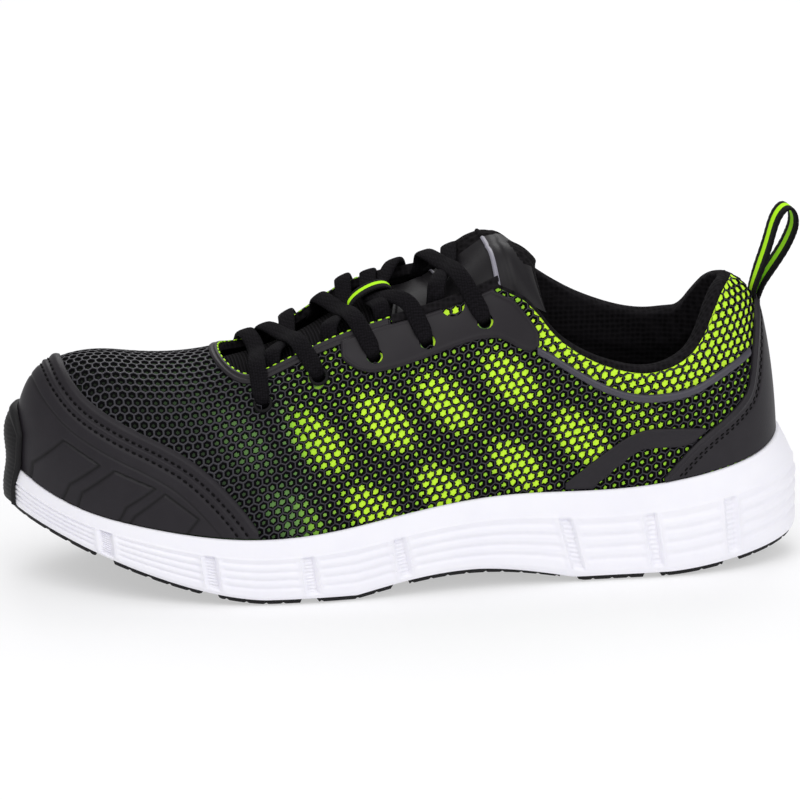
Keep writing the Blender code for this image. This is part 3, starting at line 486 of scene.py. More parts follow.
def make_toe_bumper():
    """Bumper over the midsole's front and the toe guard, with fine ribs and a smooth rim."""
    rows, columns = 90, 64
    rib_pitch, rib_high, rim = 1.6, 0.14, 2.6
    outside, inside = [], []
    for place in np.linspace(*BUMPER_ENDS, rows):
        here = section(place)
        row = station(place)
        aside = 2 * abs(place - sum(BUMPER_ENDS) / 2) / (BUMPER_ENDS[1] - BUMPER_ENDS[0])
        top = max(BUMPER_TOP - BUMPER_FALL * aside ** 3, row["lip"] + 6.0)
        outward = np.append(sole_edge(place, 1.0) - sole_edge(place), 0.0)
        ground = tread(row["x"])
        heights = np.linspace(row["lip"] + 3.0, top, len(BUMPER_ON_GUARD))
        skin = here.at(np.array([here.reach_z(height) for height in heights]))
        side = np.array([midsole_side(place, height, 0.0) for height in (0.12, 0.6, 1.0)])
        base = OVERLAY_GAP + GUARD_THICK + OVERLAY_GAP
        thick = BUMPER_AT_ENDS + (np.array(BUMPER_ON_GUARD) - BUMPER_AT_ENDS) * (1 - aside ** 2)
        outer = np.concatenate((
            [np.append(sole_edge(place, -2.0), ground + 0.4),
             np.append(sole_edge(place, 1.0), ground + 2.2)],
            side + (OVERLAY_GAP + np.array(BUMPER_ON_SOLE)[:, None]) * outward,
            skin + (base + thick[:, None]) * outward))
        inner = np.concatenate((
            [np.append(sole_edge(place, -4.0), ground + 1.2),
             np.append(sole_edge(place, OVERLAY_GAP), ground + OUTSOLE - 0.4)],
            side + OVERLAY_GAP * outward, skin + base * outward))
        outer = resample(outer, columns)
        inner = resample(inner, columns)
        free = smooth_step(outer[1:-1, 2:] - ground, 2.5, 9.0)
        for _ in range(60):
            outer[1:-1] += free * (outer[:-2] - 2 * outer[1:-1] + outer[2:]) / 4
        to_top = top - outer[:, 2]
        to_side = (1 - aside) * 30.0
        edge = np.minimum(to_top, to_side)
        ribbed = smooth_step(edge, rim, rim + 1.0)
        rib = ribbed * rib_high * np.cos(2 * np.pi * outer[:, 2] / rib_pitch)
        rounded = 0.5 * (1 - ribbed) * np.sin(np.pi * np.clip(edge / rim, 0, 1))
        outside.append(outer + (rib + rounded)[:, None] * outward)
        inside.append(inner)
    return add_slab("toe_bumper", np.array(outside), np.array(inside), [rubber], 0.9)


bumper = make_toe_bumper()

# Insole: a loose foam footbed under black brushed cloth, cut to the inside of the upper.
# It lies on the midsole's bed, and only a little of it shows through the collar.
INSOLE_RINGS = (
    # height over the bed, margin from the wall
    (GAP, 0.7), (3.4, 0.7), (4.2, 1.0), (4.5, 2.0), (4.5, 6.0), (3.7, 14.0),
)


def make_insole(finish):
    count = 240
    place = np.linspace(0, ROUND, count, endpoint=False)
    row = station(place)
    rings = []
    for height, margin in INSOLE_RINGS:
        edge = sole_edge(place, -(row["inset"] + WALL + margin))
        rings.append(np.column_stack((edge, row["bed"] + height)))
    return add_piece("footbed", np.concatenate(rings), stack_faces(len(rings), count), [finish])


# Brushed cloth: matt, with a fine grain about 0.8 mm apart.
footbed = new_finish("brushed black cloth", "#161517", 0.95, 0.2)
add_pattern(footbed, "Noise", 0.8, (0.15, 1.0))
insole = make_insole(footbed)
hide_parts("insole")

# Upper: a knitted spacer fabric over a bright lining, lasted and cemented into the midsole's lip.
# Its wall is one hollow skin with a padded collar; the inside and the folded edge are black lining knit.
COLLAR = (
    # x, lateral, medial
    (32.0, 111.8, 116.0),
    (38.0, 109.3, 114.8),
    (43.0, 107.2, 115.0),
    (48.0, 102.0, 111.8),
    (54.0,  93.7, 106.5),
    (62.0,  87.4, 100.6),
    (72.0,  82.2, 94.6),
    (86.0,  78.2, 89.0),
    (97.0,  79.6, 87.0),
    (106.0, 84.2, 88.0),
    (111.0, 91.0, 88.5),
    (116.0, 101.0, 96.5),
    (122.0, 108.0, 105.0),
    (133.0, 111.0, 111.0),
)
THROAT_FRONT = -68.5
THROAT_ROUND = 13.0
THROAT_HALF = 19.5
THROAT_MIDDLE = 1.0
THROAT_BACK = 32.0
NET_DEPTH = 0.5
ROLL_RISE = 0.2
FOLD = 1.3
HEEL_CURL = 7.0
CURL_FROM = (112.0, 131.0)
CURL_REACH = 13.0
BETWEEN_PATCHES = 0.6
BRIGHT_FROM = 44.0
TAPE_STATIONS = 8
TAPE_FROM = 96.0
TOE_GUARD_EDGE = ((-129.0, 90.0), (-127.0, 82.0), (-125.0, 77.5), (-119.0, 70.6), (-106.0, 63.0),
                  (-92.0, 56.8), (-79.5, 49.5), (-67.0, 37.0), (-58.0, 24.0))
PIPING = ((44.5, 88.9), (48.5, 86.9), (52.7, 84.6), (61.6, 78.6), (71.4, 72.8), (81.2, 68.8),
          (90.8, 67.5), (105.7, 68.7), (118.1, 74.8), (127.2, 79.1), (131.6, 82.0))
MEDIAL_RISE = 5.0
SIDES = (("lateral", True), ("medial", False))

# Bright patches of the lining: where they are in side view and how bright they are.
PATCHES = (
    # x, z, brightness
    (-36.8, 58.7, 1.0), (-11.3, 64.5, 1.0), (12.2, 70.1, 1.0), (37.0, 77.1, 1.0),
    (-16.1, 31.0, 1.0), (11.3, 36.9, 1.0), (39.0, 44.8, 1.0), (63.2, 54.5, 1.0), (86.0, 60.0, 0.5),
    (-66.0, 59.0, 0.9), (-47.3, 31.6, 0.9), (-86.0, 73.0, 0.7), (17.0, 106.0, 1.0),
)
PATCH_HALF = (10.5, 12.5)
PATCH_LEAN = 0.55


def is_lateral(place):
    return place % ROUND <= TOE


def softened(rows):
    """A drawn edge with its corners cut round."""
    rows = np.array(rows)
    for _ in range(3):
        early, late = 0.75 * rows[:-1] + 0.25 * rows[1:], 0.25 * rows[:-1] + 0.75 * rows[1:]
        rows = np.vstack((rows[:1], np.stack((early, late), 1).reshape(-1, rows.shape[1]), rows[-1:]))
    return rows


drawn_edges = {}


def line(rows, x):
    """Height of a drawn edge at x."""
    if rows not in drawn_edges:
        drawn_edges[rows] = softened(rows).T.copy()
    return np.interp(x, *drawn_edges[rows])


def collar_height(x, lateral):
    return line(tuple((row[0], row[1 if lateral else 2]) for row in COLLAR), x)


def throat_half(x):
    share = np.clip((x - THROAT_FRONT) / THROAT_ROUND, 0, 1)
    return THROAT_HALF * np.sqrt(1 - (1 - share) ** 2)


def edge_length(place):
    """Length up to the throat or collar, or to the crest in front of the throat."""
    here = section(place)
    if here.points[-1, 0] < THROAT_FRONT:
        return here.lengths[-1]
    lateral = is_lateral(place)

    def inside(x, y, z):
        if x > THROAT_BACK:
            return z < collar_height(x, lateral)
        return x <= THROAT_FRONT or abs(y - THROAT_MIDDLE) > throat_half(x)

    return here.reach(inside)


def patch_share(x, z):
    """1 in the middle of the lining's bright patches and 0 between them."""
    best = np.zeros_like(x)
    for middle_x, middle_z, bright in PATCHES:
        across = (x - middle_x + PATCH_LEAN * (z - middle_z)) / PATCH_HALF[0]
        upright = (z - middle_z) / PATCH_HALF[1]
        away = np.hypot(across, upright)
        best = np.maximum(best, bright * (1 - smooth_step(away, 0.55, 1.25)))
    return best


def lining_tint(x, z):
    """Place of the lining's colour in its dyes: black at the toe, green, then bright from the throat."""
    return np.interp(x + 0.25 * (z - 60), (-128.0, -105.0, -82.0, -66.0, -54.0, -46.0, -37.0, -25.0),
                     (0.0, 0.05, 0.16, 0.28, 0.36, 0.6, 0.9, 1.0))


EYELET_X = (-56.0, -35.0, -14.0, 6.0, 28.0)
EYELET_DROP = 14.0
EYELET_RADIUS = 2.3


def place_where(x, lateral, length_of):
    """Station number where the skin passes x, at the length that length_of() gives on a section."""
    low, high = 0.0, float(TOE)
    for _ in range(22):
        middle = (low + high) / 2
        here = section(middle if lateral else mirrored(middle))
        if here.at(length_of(here))[0] > x:
            low = middle
        else:
            high = middle
    return low if lateral else mirrored(low)


def spot_below_edge(x, drop, lateral):
    """Section and length of a point at this distance down from the throat's edge."""
    here = section(place_where(x, lateral, lambda at: edge_length(at.place) - drop))
    return here, edge_length(here.place) - drop


def eyelet_spots(lateral):
    return [spot_below_edge(x, EYELET_DROP, lateral) for x in EYELET_X]


def heel_curl(points, lateral):
    """How far the padded top of the heel leans in below the collar's edge."""
    x, below = points[..., 0], collar_height(points[..., 0], lateral) - points[..., 2]
    return HEEL_CURL * smooth_step(x, *CURL_FROM) * np.clip(1 - below / CURL_REACH, 0, 1) ** 2


def make_upper(lining, knit):
    """Hollow wall: outside rows from the bed to the edge, a rolled edge, and inside rows."""
    # The stations are closer where the collar meets the throat and round the front of the throat.
    spans = ((0, 3, 90), (3.02, 4.1, 44), (4.13, 6.8, 70), (6.82, 7.4, 36), (7.43, TOE, 66))
    places = np.concatenate([np.linspace(*span) for span in spans])
    rows, turns = 40, 7
    pad_from, pad_run = 0.3, 0.5
    last = len(places) - 1
    open_until = max(i for i, place in enumerate(places) if section(place).points[-1, 0] > THROAT_FRONT)
    points, index, tints = [], {}, []
    spots = {"lateral": eyelet_spots(True)[2:], "medial": eyelet_spots(False)[2:]}

    def add(key, point, tint=0.0):
        index[key] = len(points)
        points.append(point)
        tints.append(tint)

    for side, lateral in SIDES:
        for i, place in enumerate(places):
            here = section(place if lateral else mirrored(place))
            edge = edge_length(here.place)
            fold = FOLD if i <= open_until + 1 else edge / rows
            length = np.append(np.linspace(0, edge - fold, rows), edge)
            share = length / edge
            pad = station(here.place)["pad"] if i <= open_until else 0.0
            swell = pad * np.clip((share - pad_from) / pad_run, 0, 1) ** 2
            sunk = NET_DEPTH * (1 - smooth_step(edge - length, 4.0, FOLD) * (i <= open_until))
            outer = here.at(length, -sunk - heel_curl(here.at(length), lateral))
            inner = here.at(length, -(WALL + swell))
            x, z = outer[:, 0], outer[:, 2]
            bright = BETWEEN_PATCHES + (1 - BETWEEN_PATCHES) * patch_share(x, z)
            tint = lining_tint(x, z) * bright
            tint = np.maximum(tint, (x > BRIGHT_FROM) * (z > line(PIPING, x)))
            for spot, spot_length in spots[side]:
                from_eyelet = np.linalg.norm(outer - spot.at(spot_length), axis=1)
                tint = np.maximum(tint, 1 - smooth_step(from_eyelet, 4.0, 6.0))
            for j in range(rows + 1):
                if side == "medial" and (i in (0, last) or (j == rows and i > open_until)):
                    index[side, i, j, "out"] = index["lateral", i, j, "out"]
                    index[side, i, j, "in"] = index["lateral", i, j, "in"]
                    continue
                add((side, i, j, "out"), outer[j], tint[j])
                add((side, i, j, "in"), inner[j])
            if i > open_until + 1:
                continue
            if side == "medial" and i in (0, open_until + 1):
                for k in range(turns):
                    index[side, i, k, "roll"] = index["lateral", i, k, "roll"]
                continue
            rise = np.linalg.norm(outer[-1] - inner[-1]) * (ROLL_RISE if i <= open_until else 0.0)
            for k in range(turns):
                angle = np.pi * (k + 1) / (turns + 1)
                middle = (outer[-1] + inner[-1]) / 2 + np.cos(angle) * (outer[-1] - inner[-1]) / 2
                add((side, i, k, "roll"), middle + np.array((0, 0, rise * np.sin(angle))))

    faces, finish = [], []
    for side, _ in SIDES:
        for i in range(last):
            for layer in ("out", "in"):
                for j in range(rows):
                    faces.append([index[side, a, b, layer] for a, b in
                                  ((i, j), (i + 1, j), (i + 1, j + 1), (i, j + 1))])
                    taped = i < TAPE_STATIONS and points[index[side, i, j, "out"]][2] > TAPE_FROM
                    lined = layer == "out" and (j < rows - 1 or i > open_until) and not taped
                    finish.append(0 if lined else 1)
            faces.append([index[side, i, 0, "out"], index[side, i + 1, 0, "out"],
                          index[side, i + 1, 0, "in"], index[side, i, 0, "in"]])
            finish.append(1)
            if i <= open_until:
                ring = [(rows, "out")] + [(k, "roll") for k in range(turns)] + [(rows, "in")]
                for here, after in zip(ring, ring[1:]):
                    faces.append([index[(side, i) + here], index[(side, i + 1) + here],
                                  index[(side, i + 1) + after], index[(side, i) + after]])
                    finish.append(1)
    made = add_piece("upper_wall", points, faces, [lining, knit], finish, sharp=1.3)
    add_values(made, "tint", tints)
    return made


# Dyed lining cloth: matt, with short fibres that break up its colour. Its fluorescent dye gives back
# more visible light than falls on it; a little emission stands in for that, and it is painted light too, as
# it glows as brightly in shade as in light.
lining_cloth = new_finish("dyed lining cloth", "#b9f51c", 0.85, 0.2, (("Emission Strength", 0.3),))
tint = add_node(lining_cloth, "ShaderNodeAttribute", attribute_name="tint")
dye = add_node(lining_cloth, "ShaderNodeValToRGB", (("Fac", tint.outputs["Fac"]),))
dye.color_ramp.elements[0].color = linear("#090b09")
dye.color_ramp.elements[1].color = linear("#ccfb3c")
for position, colour in ((0.16, "#2f4229"), (0.36, "#668f4e"), (0.62, "#98d133")):
    dye.color_ramp.elements.new(position).color = linear(colour)
fibre = add_pattern(lining_cloth, "Noise", 0.7, (0.25, 1.0), inputs=(("Detail", 5.0),))
# The dyed colour also feeds the emission, which is painted light.
for socket in ("Base Color", "Emission Color"):
    add_node(lining_cloth, "ShaderNodeMixRGB", (("Fac", 0.35), ("Color1", dye.outputs["Color"]),
             ("Color2", fibre.node.outputs["Color"])), socket, blend_type="MULTIPLY")

# Lining knit: black, matt and fuzzy, with small round eyes about 2 mm apart.
lining_knit = new_finish("black lining knit", "#0e0d0f", 0.95, 0.07)
add_pattern(lining_knit, "Voronoi", 2.0, (0.5, 0.8), ("#090809", "#242225"), (("Randomness", 0.25),))

upper = make_upper(lining_cloth, lining_knit)
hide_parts("upper")

# Net: the face of the spacer fabric, black yarn knitted in hexagons about 3.5 mm across.
# Between the lining's bright patches the yarn is knitted closer, so that the eyes are smaller.
NET_PITCH = 3.55
ROW_PITCH = 0.866 * NET_PITCH
NET_DROP = 170.0
NET_HIGH = 0.3
ROW_SLOPE = 0.22
NET_TOE = (-122.0, 76.0)
NET_HEEL = 137.0
SMALL_EYE = 0.19
EYE_GAIN = 0.165
EYE_UNEVEN = 0.13
EYE_DEPTH = 0.42


class NetSide:
    """One side of the last cut by planes across the shoe, so that the net's rows can follow it."""

    def __init__(self, lateral):
        self.lateral = lateral
        self.x = np.linspace(-128.0, 141.0, 270)
        spots = np.linspace(0.0, TOE, 420)
        grid = np.array([bare_section(spot if lateral else mirrored(spot)) for spot in spots])[::-1]
        toe_line = grid[0]
        curves = np.stack([rows_between(self.x, rows[:, 0], rows) for rows in grid.swapaxes(0, 1)], 1)
        for i, x in enumerate(self.x):
            curves[i, toe_line[:, 0] > x] = rows_between(x, toe_line[:, 0], toe_line)
        self.total = np.array([lengths_along(curve)[-1] for curve in curves])
        self.foot = curves[:, 0, 2]
        self.table = np.array([resample(curve, 161) for curve in curves])
        normals = np.cross(np.gradient(self.table, axis=1), np.gradient(self.table, axis=0))
        normals *= -1 if lateral else 1
        self.normals = normals / np.maximum(np.linalg.norm(normals, axis=2, keepdims=True), 1e-9)
        self.edge = np.array([self.edge_at(i) for i in range(len(self.x))])
        lip = np.array([self.length_at_z(i, self.lip_at(x)) for i, x in enumerate(self.x)])
        self.low = lip - 2.0

    def lip_at(self, x):
        spots = np.linspace(0.0, TOE, 200)
        row = station(spots if self.lateral else mirrored(spots))
        return np.interp(x, row["x"][::-1], row["lip"][::-1])

    def length_at_z(self, i, z):
        return np.interp(z, self.table[i, :, 2], np.linspace(0, self.total[i], self.table.shape[1]))

    def edge_at(self, i):
        """Length at which this cut meets the throat or the collar."""
        x = self.x[i]
        if x <= THROAT_FRONT:
            return self.total[i]
        if x > THROAT_BACK:
            return self.length_at_z(i, collar_height(x, self.lateral)) - FOLD
        away = np.abs(self.table[i, :, 1] - THROAT_MIDDLE)
        inside = np.nonzero(away < throat_half(x))[0]
        share = inside[0] / (self.table.shape[1] - 1) if len(inside) else 1.0
        return share * self.total[i]

    def at(self, x, length, lift):
        """Points on the side, moved outward; x and length are arrays."""
        row = np.clip((x - self.x[0]) / (self.x[1] - self.x[0]), 0, len(self.x) - 1.001)
        share = np.clip(length / np.interp(x, self.x, self.total), 0, 0.99999)
        column = share * (self.table.shape[1] - 1)
        i, j = row.astype(int), column.astype(int)
        u, v = (row - i)[..., None], (column - j)[..., None]

        def mix(values):
            return ((1 - u) * (1 - v) * values[i, j] + u * (1 - v) * values[i + 1, j]
                    + (1 - u) * v * values[i, j + 1] + u * v * values[i + 1, j + 1])

        normal = mix(self.normals)
        normal /= np.maximum(np.linalg.norm(normal, axis=-1, keepdims=True), 1e-9)
        return mix(self.table) + np.asarray(lift)[..., None] * normal


net_sides = {lateral: NetSide(lateral) for lateral in (True, False)}


def make_net(name, lateral):
    """Hexagonal cells in rows; each has a raised border that funnels down to its eye."""
    side = net_sides[lateral]
    x = side.x
    front = int(np.searchsorted(x, THROAT_FRONT))
    rows_at = np.where(x <= THROAT_FRONT, side.foot + side.total,
                       side.foot[front] + side.total[front] + ROW_SLOPE * (x - THROAT_FRONT))
    middle = np.array([np.interp(0.4, np.linspace(0, 1, side.table.shape[1]), side.table[i, :, 1])
                       for i in range(len(x))])
    stretch = np.sqrt(1 + np.gradient(middle, x) ** 2)
    along = np.concatenate(([0.0], np.cumsum((stretch[1:] + stretch[:-1]) / 2 * np.diff(x))))
    along -= np.interp(0.0, x, along)

    numbers = np.arange(int(np.ceil(NET_DROP / ROW_PITCH)))
    columns = np.arange(int(along[0] / NET_PITCH) - 1, int(along[-1] / NET_PITCH) + 2)
    across, down = np.meshgrid(columns, numbers, indexing="ij")
    centre_a = (NET_PITCH * (across + 0.5 * (down % 2))).ravel()
    centre_w = (ROW_PITCH * down).ravel()

    def place(a, w):
        """x and length of net coordinates; w runs down from the crest."""
        spot = np.interp(a, along, x)
        return spot, np.interp(spot, x, rows_at) - np.interp(spot, x, side.foot) - w

    centre_x, centre_s = place(centre_a, centre_w)
    slack = 0.5 * NET_PITCH
    keep = (centre_a > along[0]) & (centre_a < along[-1])
    over_edge = np.where(centre_x > THROAT_FRONT, 0.9, 0.2) * slack
    keep &= centre_s < np.interp(centre_x, x, side.edge) + over_edge
    keep &= centre_s > np.interp(centre_x, x, side.low) - slack
    centre = side.at(centre_x, centre_s, np.zeros_like(centre_x))
    keep &= (centre_x > NET_TOE[0]) | (centre[:, 2] > NET_TOE[1])
    hidden = np.where(centre_x < TOE_GUARD_EDGE[-1][0], 4, 60)
    keep &= centre[:, 2] > line(TOE_GUARD_EDGE, centre_x) - hidden
    keep &= centre_x < NET_HEEL
    past = side.at(centre_x + 0.7 * NET_PITCH, centre_s, np.zeros_like(centre_x))
    keep &= np.abs(past[:, 0] - centre_x - 0.7 * NET_PITCH) < 0.5
    for here, length in eyelet_spots(lateral):
        keep &= np.linalg.norm(centre - here.at(length), axis=1) > EYELET_RADIUS + 0.7
    centre_a, centre_w, centre = centre_a[keep], centre_w[keep], centre[keep]

    rise = 0.0 if lateral else MEDIAL_RISE
    over_piping = centre[:, 2] - line(PIPING, centre[:, 0]) - rise
    above_piping = smooth_step(over_piping, 0.0, 2.0) * (centre[:, 0] > BRIGHT_FROM + 2)
    wide = np.maximum(patch_share(centre[:, 0], centre[:, 2]), above_piping)
    wide = wide * np.interp(centre[:, 0], (-72.0, -42.0), (0.3, 1.0))
    eye = NET_PITCH * (SMALL_EYE + EYE_GAIN * wide)
    inner_ring = np.interp(centre[:, 0], (-75.0, -45.0), (0.8, 0.875))
    corners = 12
    uneven = 1 + EYE_UNEVEN * np.random.default_rng(7).standard_normal((len(centre), corners))

    turn = np.linspace(0, 2 * np.pi, corners, endpoint=False) + np.pi / 6
    corner = NET_PITCH / np.sqrt(3) * np.where(np.arange(corners) % 2 == 0, 1.0, np.cos(np.pi / 6))
    rings = []
    for radius, lift in ((corner[None] * np.ones((len(centre), 1)), NET_HIGH),
                         (corner[None] * inner_ring[:, None], NET_HIGH - 0.06),
                         (eye[:, None] * uneven * (1 + 0.15 * np.cos(6 * (turn - np.pi / 6))), -EYE_DEPTH)):
        a = centre_a[:, None] + radius * np.cos(turn)
        w = centre_w[:, None] + radius * np.sin(turn)
        spot, length = place(a, w)
        length = np.clip(length, 0.0, np.interp(spot, x, side.edge))
        flat = side.at(spot, length, np.zeros(length.shape))
        rings.append(side.at(spot, length, lift - heel_curl(flat, lateral)))
    points = np.stack(rings, 1)
    cells = len(points)
    faces = np.array(grid_faces(len(rings), corners, round_columns=True))
    # The faces from each strand down to its eye get the darker copy of the yarn: painted shade.
    depth = np.tile(np.repeat((0, 1), corners), cells)
    if lateral:
        faces = faces[:, ::-1]
    starts = len(rings) * corners * np.arange(cells)
    faces = (faces[None] + starts[:, None, None]).reshape(-1, 4).tolist()
    return add_piece(name, points.reshape(-1, 3), faces, [yarn, shaded_deep_yarn], depth, closed=False,
                     sharp=1.4)


# Knitted polyester yarn: black with a cool cast and satin on the strands' tops. Its funnels down to the
# eyes take a darker, matt copy of it, which is painted shade in their depth.
yarn = new_finish("knitted black yarn", "#1b1a20", 0.42, 0.35)
add_pattern(yarn, "Noise", 0.5, (0.1, 0.7), ("#1a191e", "#33313a"))
shaded_deep_yarn = new_finish("yarn with painted shade in the eyes", "#0c0b0d", 0.95, 0.04)
add_pattern(shaded_deep_yarn, "Noise", 0.4, (0.15, 1.0))
for side_name, outer_side in SIDES:
    net = make_net("net_" + side_name, outer_side)

# Toe guard: a moulded film overlay that wraps the toe cap, stitched to the net along its upper edge.
# Its edge is a rolled rim with two sunk rows of stitching; each side has three panels in sunk lines.
GUARD_RIM = 3.6
STITCH_ROWS = (4.4, 7.6)
GUARD_PANELS = (
    ((-128.5, 57.0), (-116.5, 49.6), (-126.5, 41.5), (-129.5, 34.0), (-140.0, 34.0), (-138.5, 46.5)),
    ((-111.5, 47.9), (-97.2, 42.2), (-107.5, 35.0), (-112.0, 26.0), (-126.0, 26.0), (-122.5, 39.0)),
    ((-93.8, 40.4), (-82.0, 31.6), (-88.0, 24.0), (-110.0, 24.0), (-104.5, 32.0)),
)


def place_at(x, height, lateral=True):
    """Station number where the skin passes x at this height."""
    return place_where(x, lateral, lambda here: here.reach_z(height))


def above_lip(here):
    return here.reach_z(station(here.place)["lip"] + 0.6)


def overlay_grid(places, low, high, columns):
    """Points and normals on the upper between two edges, denser towards the upper one."""
    share = np.linspace(1, 0, columns)
    share = 1 - share * (0.35 + 0.65 * share)
    lengths = np.array([low(section(place)) + (high(section(place)) - low(section(place))) * share
                        for place in places])
    points = np.array([section(place).at(length) for place, length in zip(places, lengths)])
    normals = np.array([section(place).normal(length) for place, length in zip(places, lengths)])
    return points, normals


def edge_distance(points, edges):
    """Distance of each point of a grid from the nearest of the edges, which are rows of points."""
    found = np.full(points.shape[:2], 1e9)
    for edge in edges:
        close = resample(edge, max(2, int(lengths_along(edge)[-1] / 0.3)))
        for row in range(len(points)):
            away = np.linalg.norm(points[row][:, None] - close[None], axis=-1).min(-1)
            found[row] = np.minimum(found[row], away)
    return found


def rounded_edge(distance, radius):
    return np.sqrt(1 - (1 - np.clip(distance / radius, 0, 1)) ** 2)


def ridge(distance, middle, width):
    return np.exp(-((distance - middle) / width) ** 2)


def add_overlay(name, points, normals, lift, finish):
    outside = points + (OVERLAY_GAP + lift)[..., None] * normals
    return add_slab(name, outside, points + OVERLAY_GAP * normals, [finish], 0.8)


def panel_depth(x, z):
    """Sunk lines round the panels of the toe guard, with their insides a little raised."""
    relief = np.zeros_like(x)
    for corners in GUARD_PANELS:
        away = np.full_like(x, 1e9)
        inside = np.zeros(x.shape, bool)
        for (x0, z0), (x1, z1) in zip(corners, corners[1:] + corners[:1]):
            share = ((x - x0) * (x1 - x0) + (z - z0) * (z1 - z0)) / ((x1 - x0) ** 2 + (z1 - z0) ** 2)
            share = np.clip(share, 0, 1)
            away = np.minimum(away, np.hypot(x - x0 - share * (x1 - x0), z - z0 - share * (z1 - z0)))
            if z0 != z1:
                crosses = ((z0 > z) != (z1 > z)) & (x < (x1 - x0) * (z - z0) / (z1 - z0) + x0)
                inside ^= crosses
        relief += 0.06 * inside * smooth_step(away, 0.3, 1.2) - 0.5 * ridge(away, 0.0, 0.45)
    return relief


def inset_row(points, normals, distance, inset):
    """Points and normals along a grid's upper edge at this distance from it."""
    row_points, row_normals = [], []
    for i in range(len(points)):
        from_edge = np.maximum.accumulate(distance[i, ::-1])
        if from_edge[-1] < inset + 0.6:
            continue
        row_points.append(rows_between(inset, from_edge, points[i, ::-1]))
        row_normals.append(rows_between(inset, from_edge, normals[i, ::-1]))
    return np.array(row_points), np.array(row_normals)


def add_stitches(name, rows, lift, finish, pitch=2.7, size=(1.9, 0.75, 0.55)):
    """One joined mesh of small pillow-shaped stitches along rows of points and normals."""
    half = np.array(size) / 2
    turns = np.linspace(0, 2 * np.pi, 4, endpoint=False) + np.pi / 4
    points, faces = [], []
    for row_points, row_normals in rows:
        lengths = lengths_along(row_points)
        where = np.linspace(0, lengths[-1], int(lengths[-1] / pitch) + 1)
        spots = rows_between(where, lengths, row_points)
        normals = unit(rows_between(where, lengths, row_normals))
        along = unit(np.gradient(spots, axis=0))
        aside = np.cross(along, normals)
        for spot, ahead, side, up in zip(spots + lift * normals, along, aside, normals):
            start = len(points)
            points.append(spot - half[0] * ahead - 0.5 * half[2] * up)
            for reach in (-0.6, 0.6):
                points += [spot + reach * half[0] * ahead + half[1] * np.cos(turn) * side
                           + half[2] * np.sin(turn) * up for turn in turns]
            points.append(spot + half[0] * ahead - 0.5 * half[2] * up)
            for k in range(4):
                after = (k + 1) % 4
                faces.append((start, start + 1 + after, start + 1 + k))
                faces.append((start + 1 + k, start + 1 + after, start + 5 + after, start + 5 + k))
                faces.append((start + 9, start + 5 + k, start + 5 + after))
    return add_piece(name, points, faces, [finish], sharp=1.6)


# Moulded film: matt charcoal with a fine leather grain and a soft highlight on its rolled edges.
film = new_finish("moulded charcoal film", "#211e23", 0.5, 0.25)
add_pattern(film, "Noise", 0.8, (0.06, 0.7), inputs=(("Detail", 4.0),))
mottle = add_pattern(film, "Noise", 6.0)
mottled = add_node(film, "ShaderNodeMixRGB", (("Fac", mottle), ("Color1", linear("#1d1a1f")),
                   ("Color2", linear("#252227"))))
# Painted shade: the "groove" values mix the film's colour towards black in the toe guard's sunk lines.
groove = add_node(film, "ShaderNodeAttribute", attribute_name="groove")
add_node(film, "ShaderNodeMixRGB", (("Fac", groove.outputs["Fac"]),
         ("Color1", mottled.outputs["Color"]), ("Color2", linear("#060507"))), "Base Color")
# Sewing thread: black, with a slight shine.
thread = new_finish("black sewing thread", "#0a090a", 0.7, 0.1)
add_pattern(thread, "Noise", 0.4, (0.08, 1.0))


def make_toe_guard():
    places = np.linspace(place_at(-60.5, 27.0), place_at(-60.5, 27.0, False), 400)

    def high(here):
        top = here.reach(lambda x, y, z: x < TOE_GUARD_EDGE[0][0] or z < line(TOE_GUARD_EDGE, x))
        return max(top, above_lip(here) + 1.0)

    points, normals = overlay_grid(places, above_lip, high, 114)
    away = edge_distance(points, [points[:, -1]])
    lift = GUARD_THICK * (0.2 + 0.8 * rounded_edge(away, 1.8))
    lift += 0.3 * ridge(away, 2.1, 1.0) + 0.3 * ridge(away, 6.0, 0.8) - 0.3 * ridge(away, 12.5, 0.45)
    for inset in STITCH_ROWS:
        lift -= 0.45 * ridge(away, inset, 0.75)
    panels = panel_depth(points[..., 0], points[..., 2])
    guard = add_overlay("toe_guard_film", points, normals, lift + panels, film)
    # Painted shade in the sunk panel outlines and the sunk line 12.5 mm in from the edge, for the outside
    # points only.
    dark = np.clip(-2 * panels + 0.5 * ridge(away, 12.5, 0.45), 0, 1).ravel()
    add_values(guard, "groove", np.append(dark, np.zeros(len(dark))))
    rows = [inset_row(points, normals, away, inset) for inset in STITCH_ROWS]
    return guard, add_stitches("toe_guard_stitches", rows, OVERLAY_GAP + 1.15, thread)


toe_guard, toe_guard_stitches = make_toe_guard()
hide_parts("toe_guard")

# Heel counter: a moulded film overlay that stiffens the heel, stitched to the net in a double row.
# Its upper edge is a rolled rim, and its foot stands just above the midsole's lip.
COUNTER_THICK = 1.4
COUNTER_STITCHES = (4.1, 5.2)
COUNTER_EDGE = ((91.8, 34.0), (105.4, 48.3), (113.7, 54.3), (119.6, 58.0), (126.0, 63.0),
                (129.2, 67.6), (131.5, 83.8), (133.0, 95.0), (134.0, 99.5), (140.0, 100.0))


def make_heel_counter():
    places = np.linspace(place_at(95.0, 40.0, False) - ROUND, place_at(95.0, 37.0), 170)

    def high(here):
        top = here.reach(lambda x, y, z: z < line(COUNTER_EDGE, x))
        return max(top, above_lip(here) + 1.0)

    points, normals = overlay_grid(places, above_lip, high, 70)
    away = edge_distance(points, [points[:, -1]])
    lift = COUNTER_THICK * (0.35 + 0.65 * rounded_edge(away, 1.0)) + 0.5 * ridge(away, 1.3, 0.8)
    lift -= 0.4 * ridge(away, 4.6, 0.9)
    counter = add_overlay("heel_counter_film", points, normals, lift, film)
    rows = [inset_row(points, normals, away, inset) for inset in COUNTER_STITCHES]
    return counter, add_stitches("heel_counter_stitches", rows, OVERLAY_GAP + 1.15, thread)


heel_counter, heel_counter_stitches = make_heel_counter()
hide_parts("heel_counter")

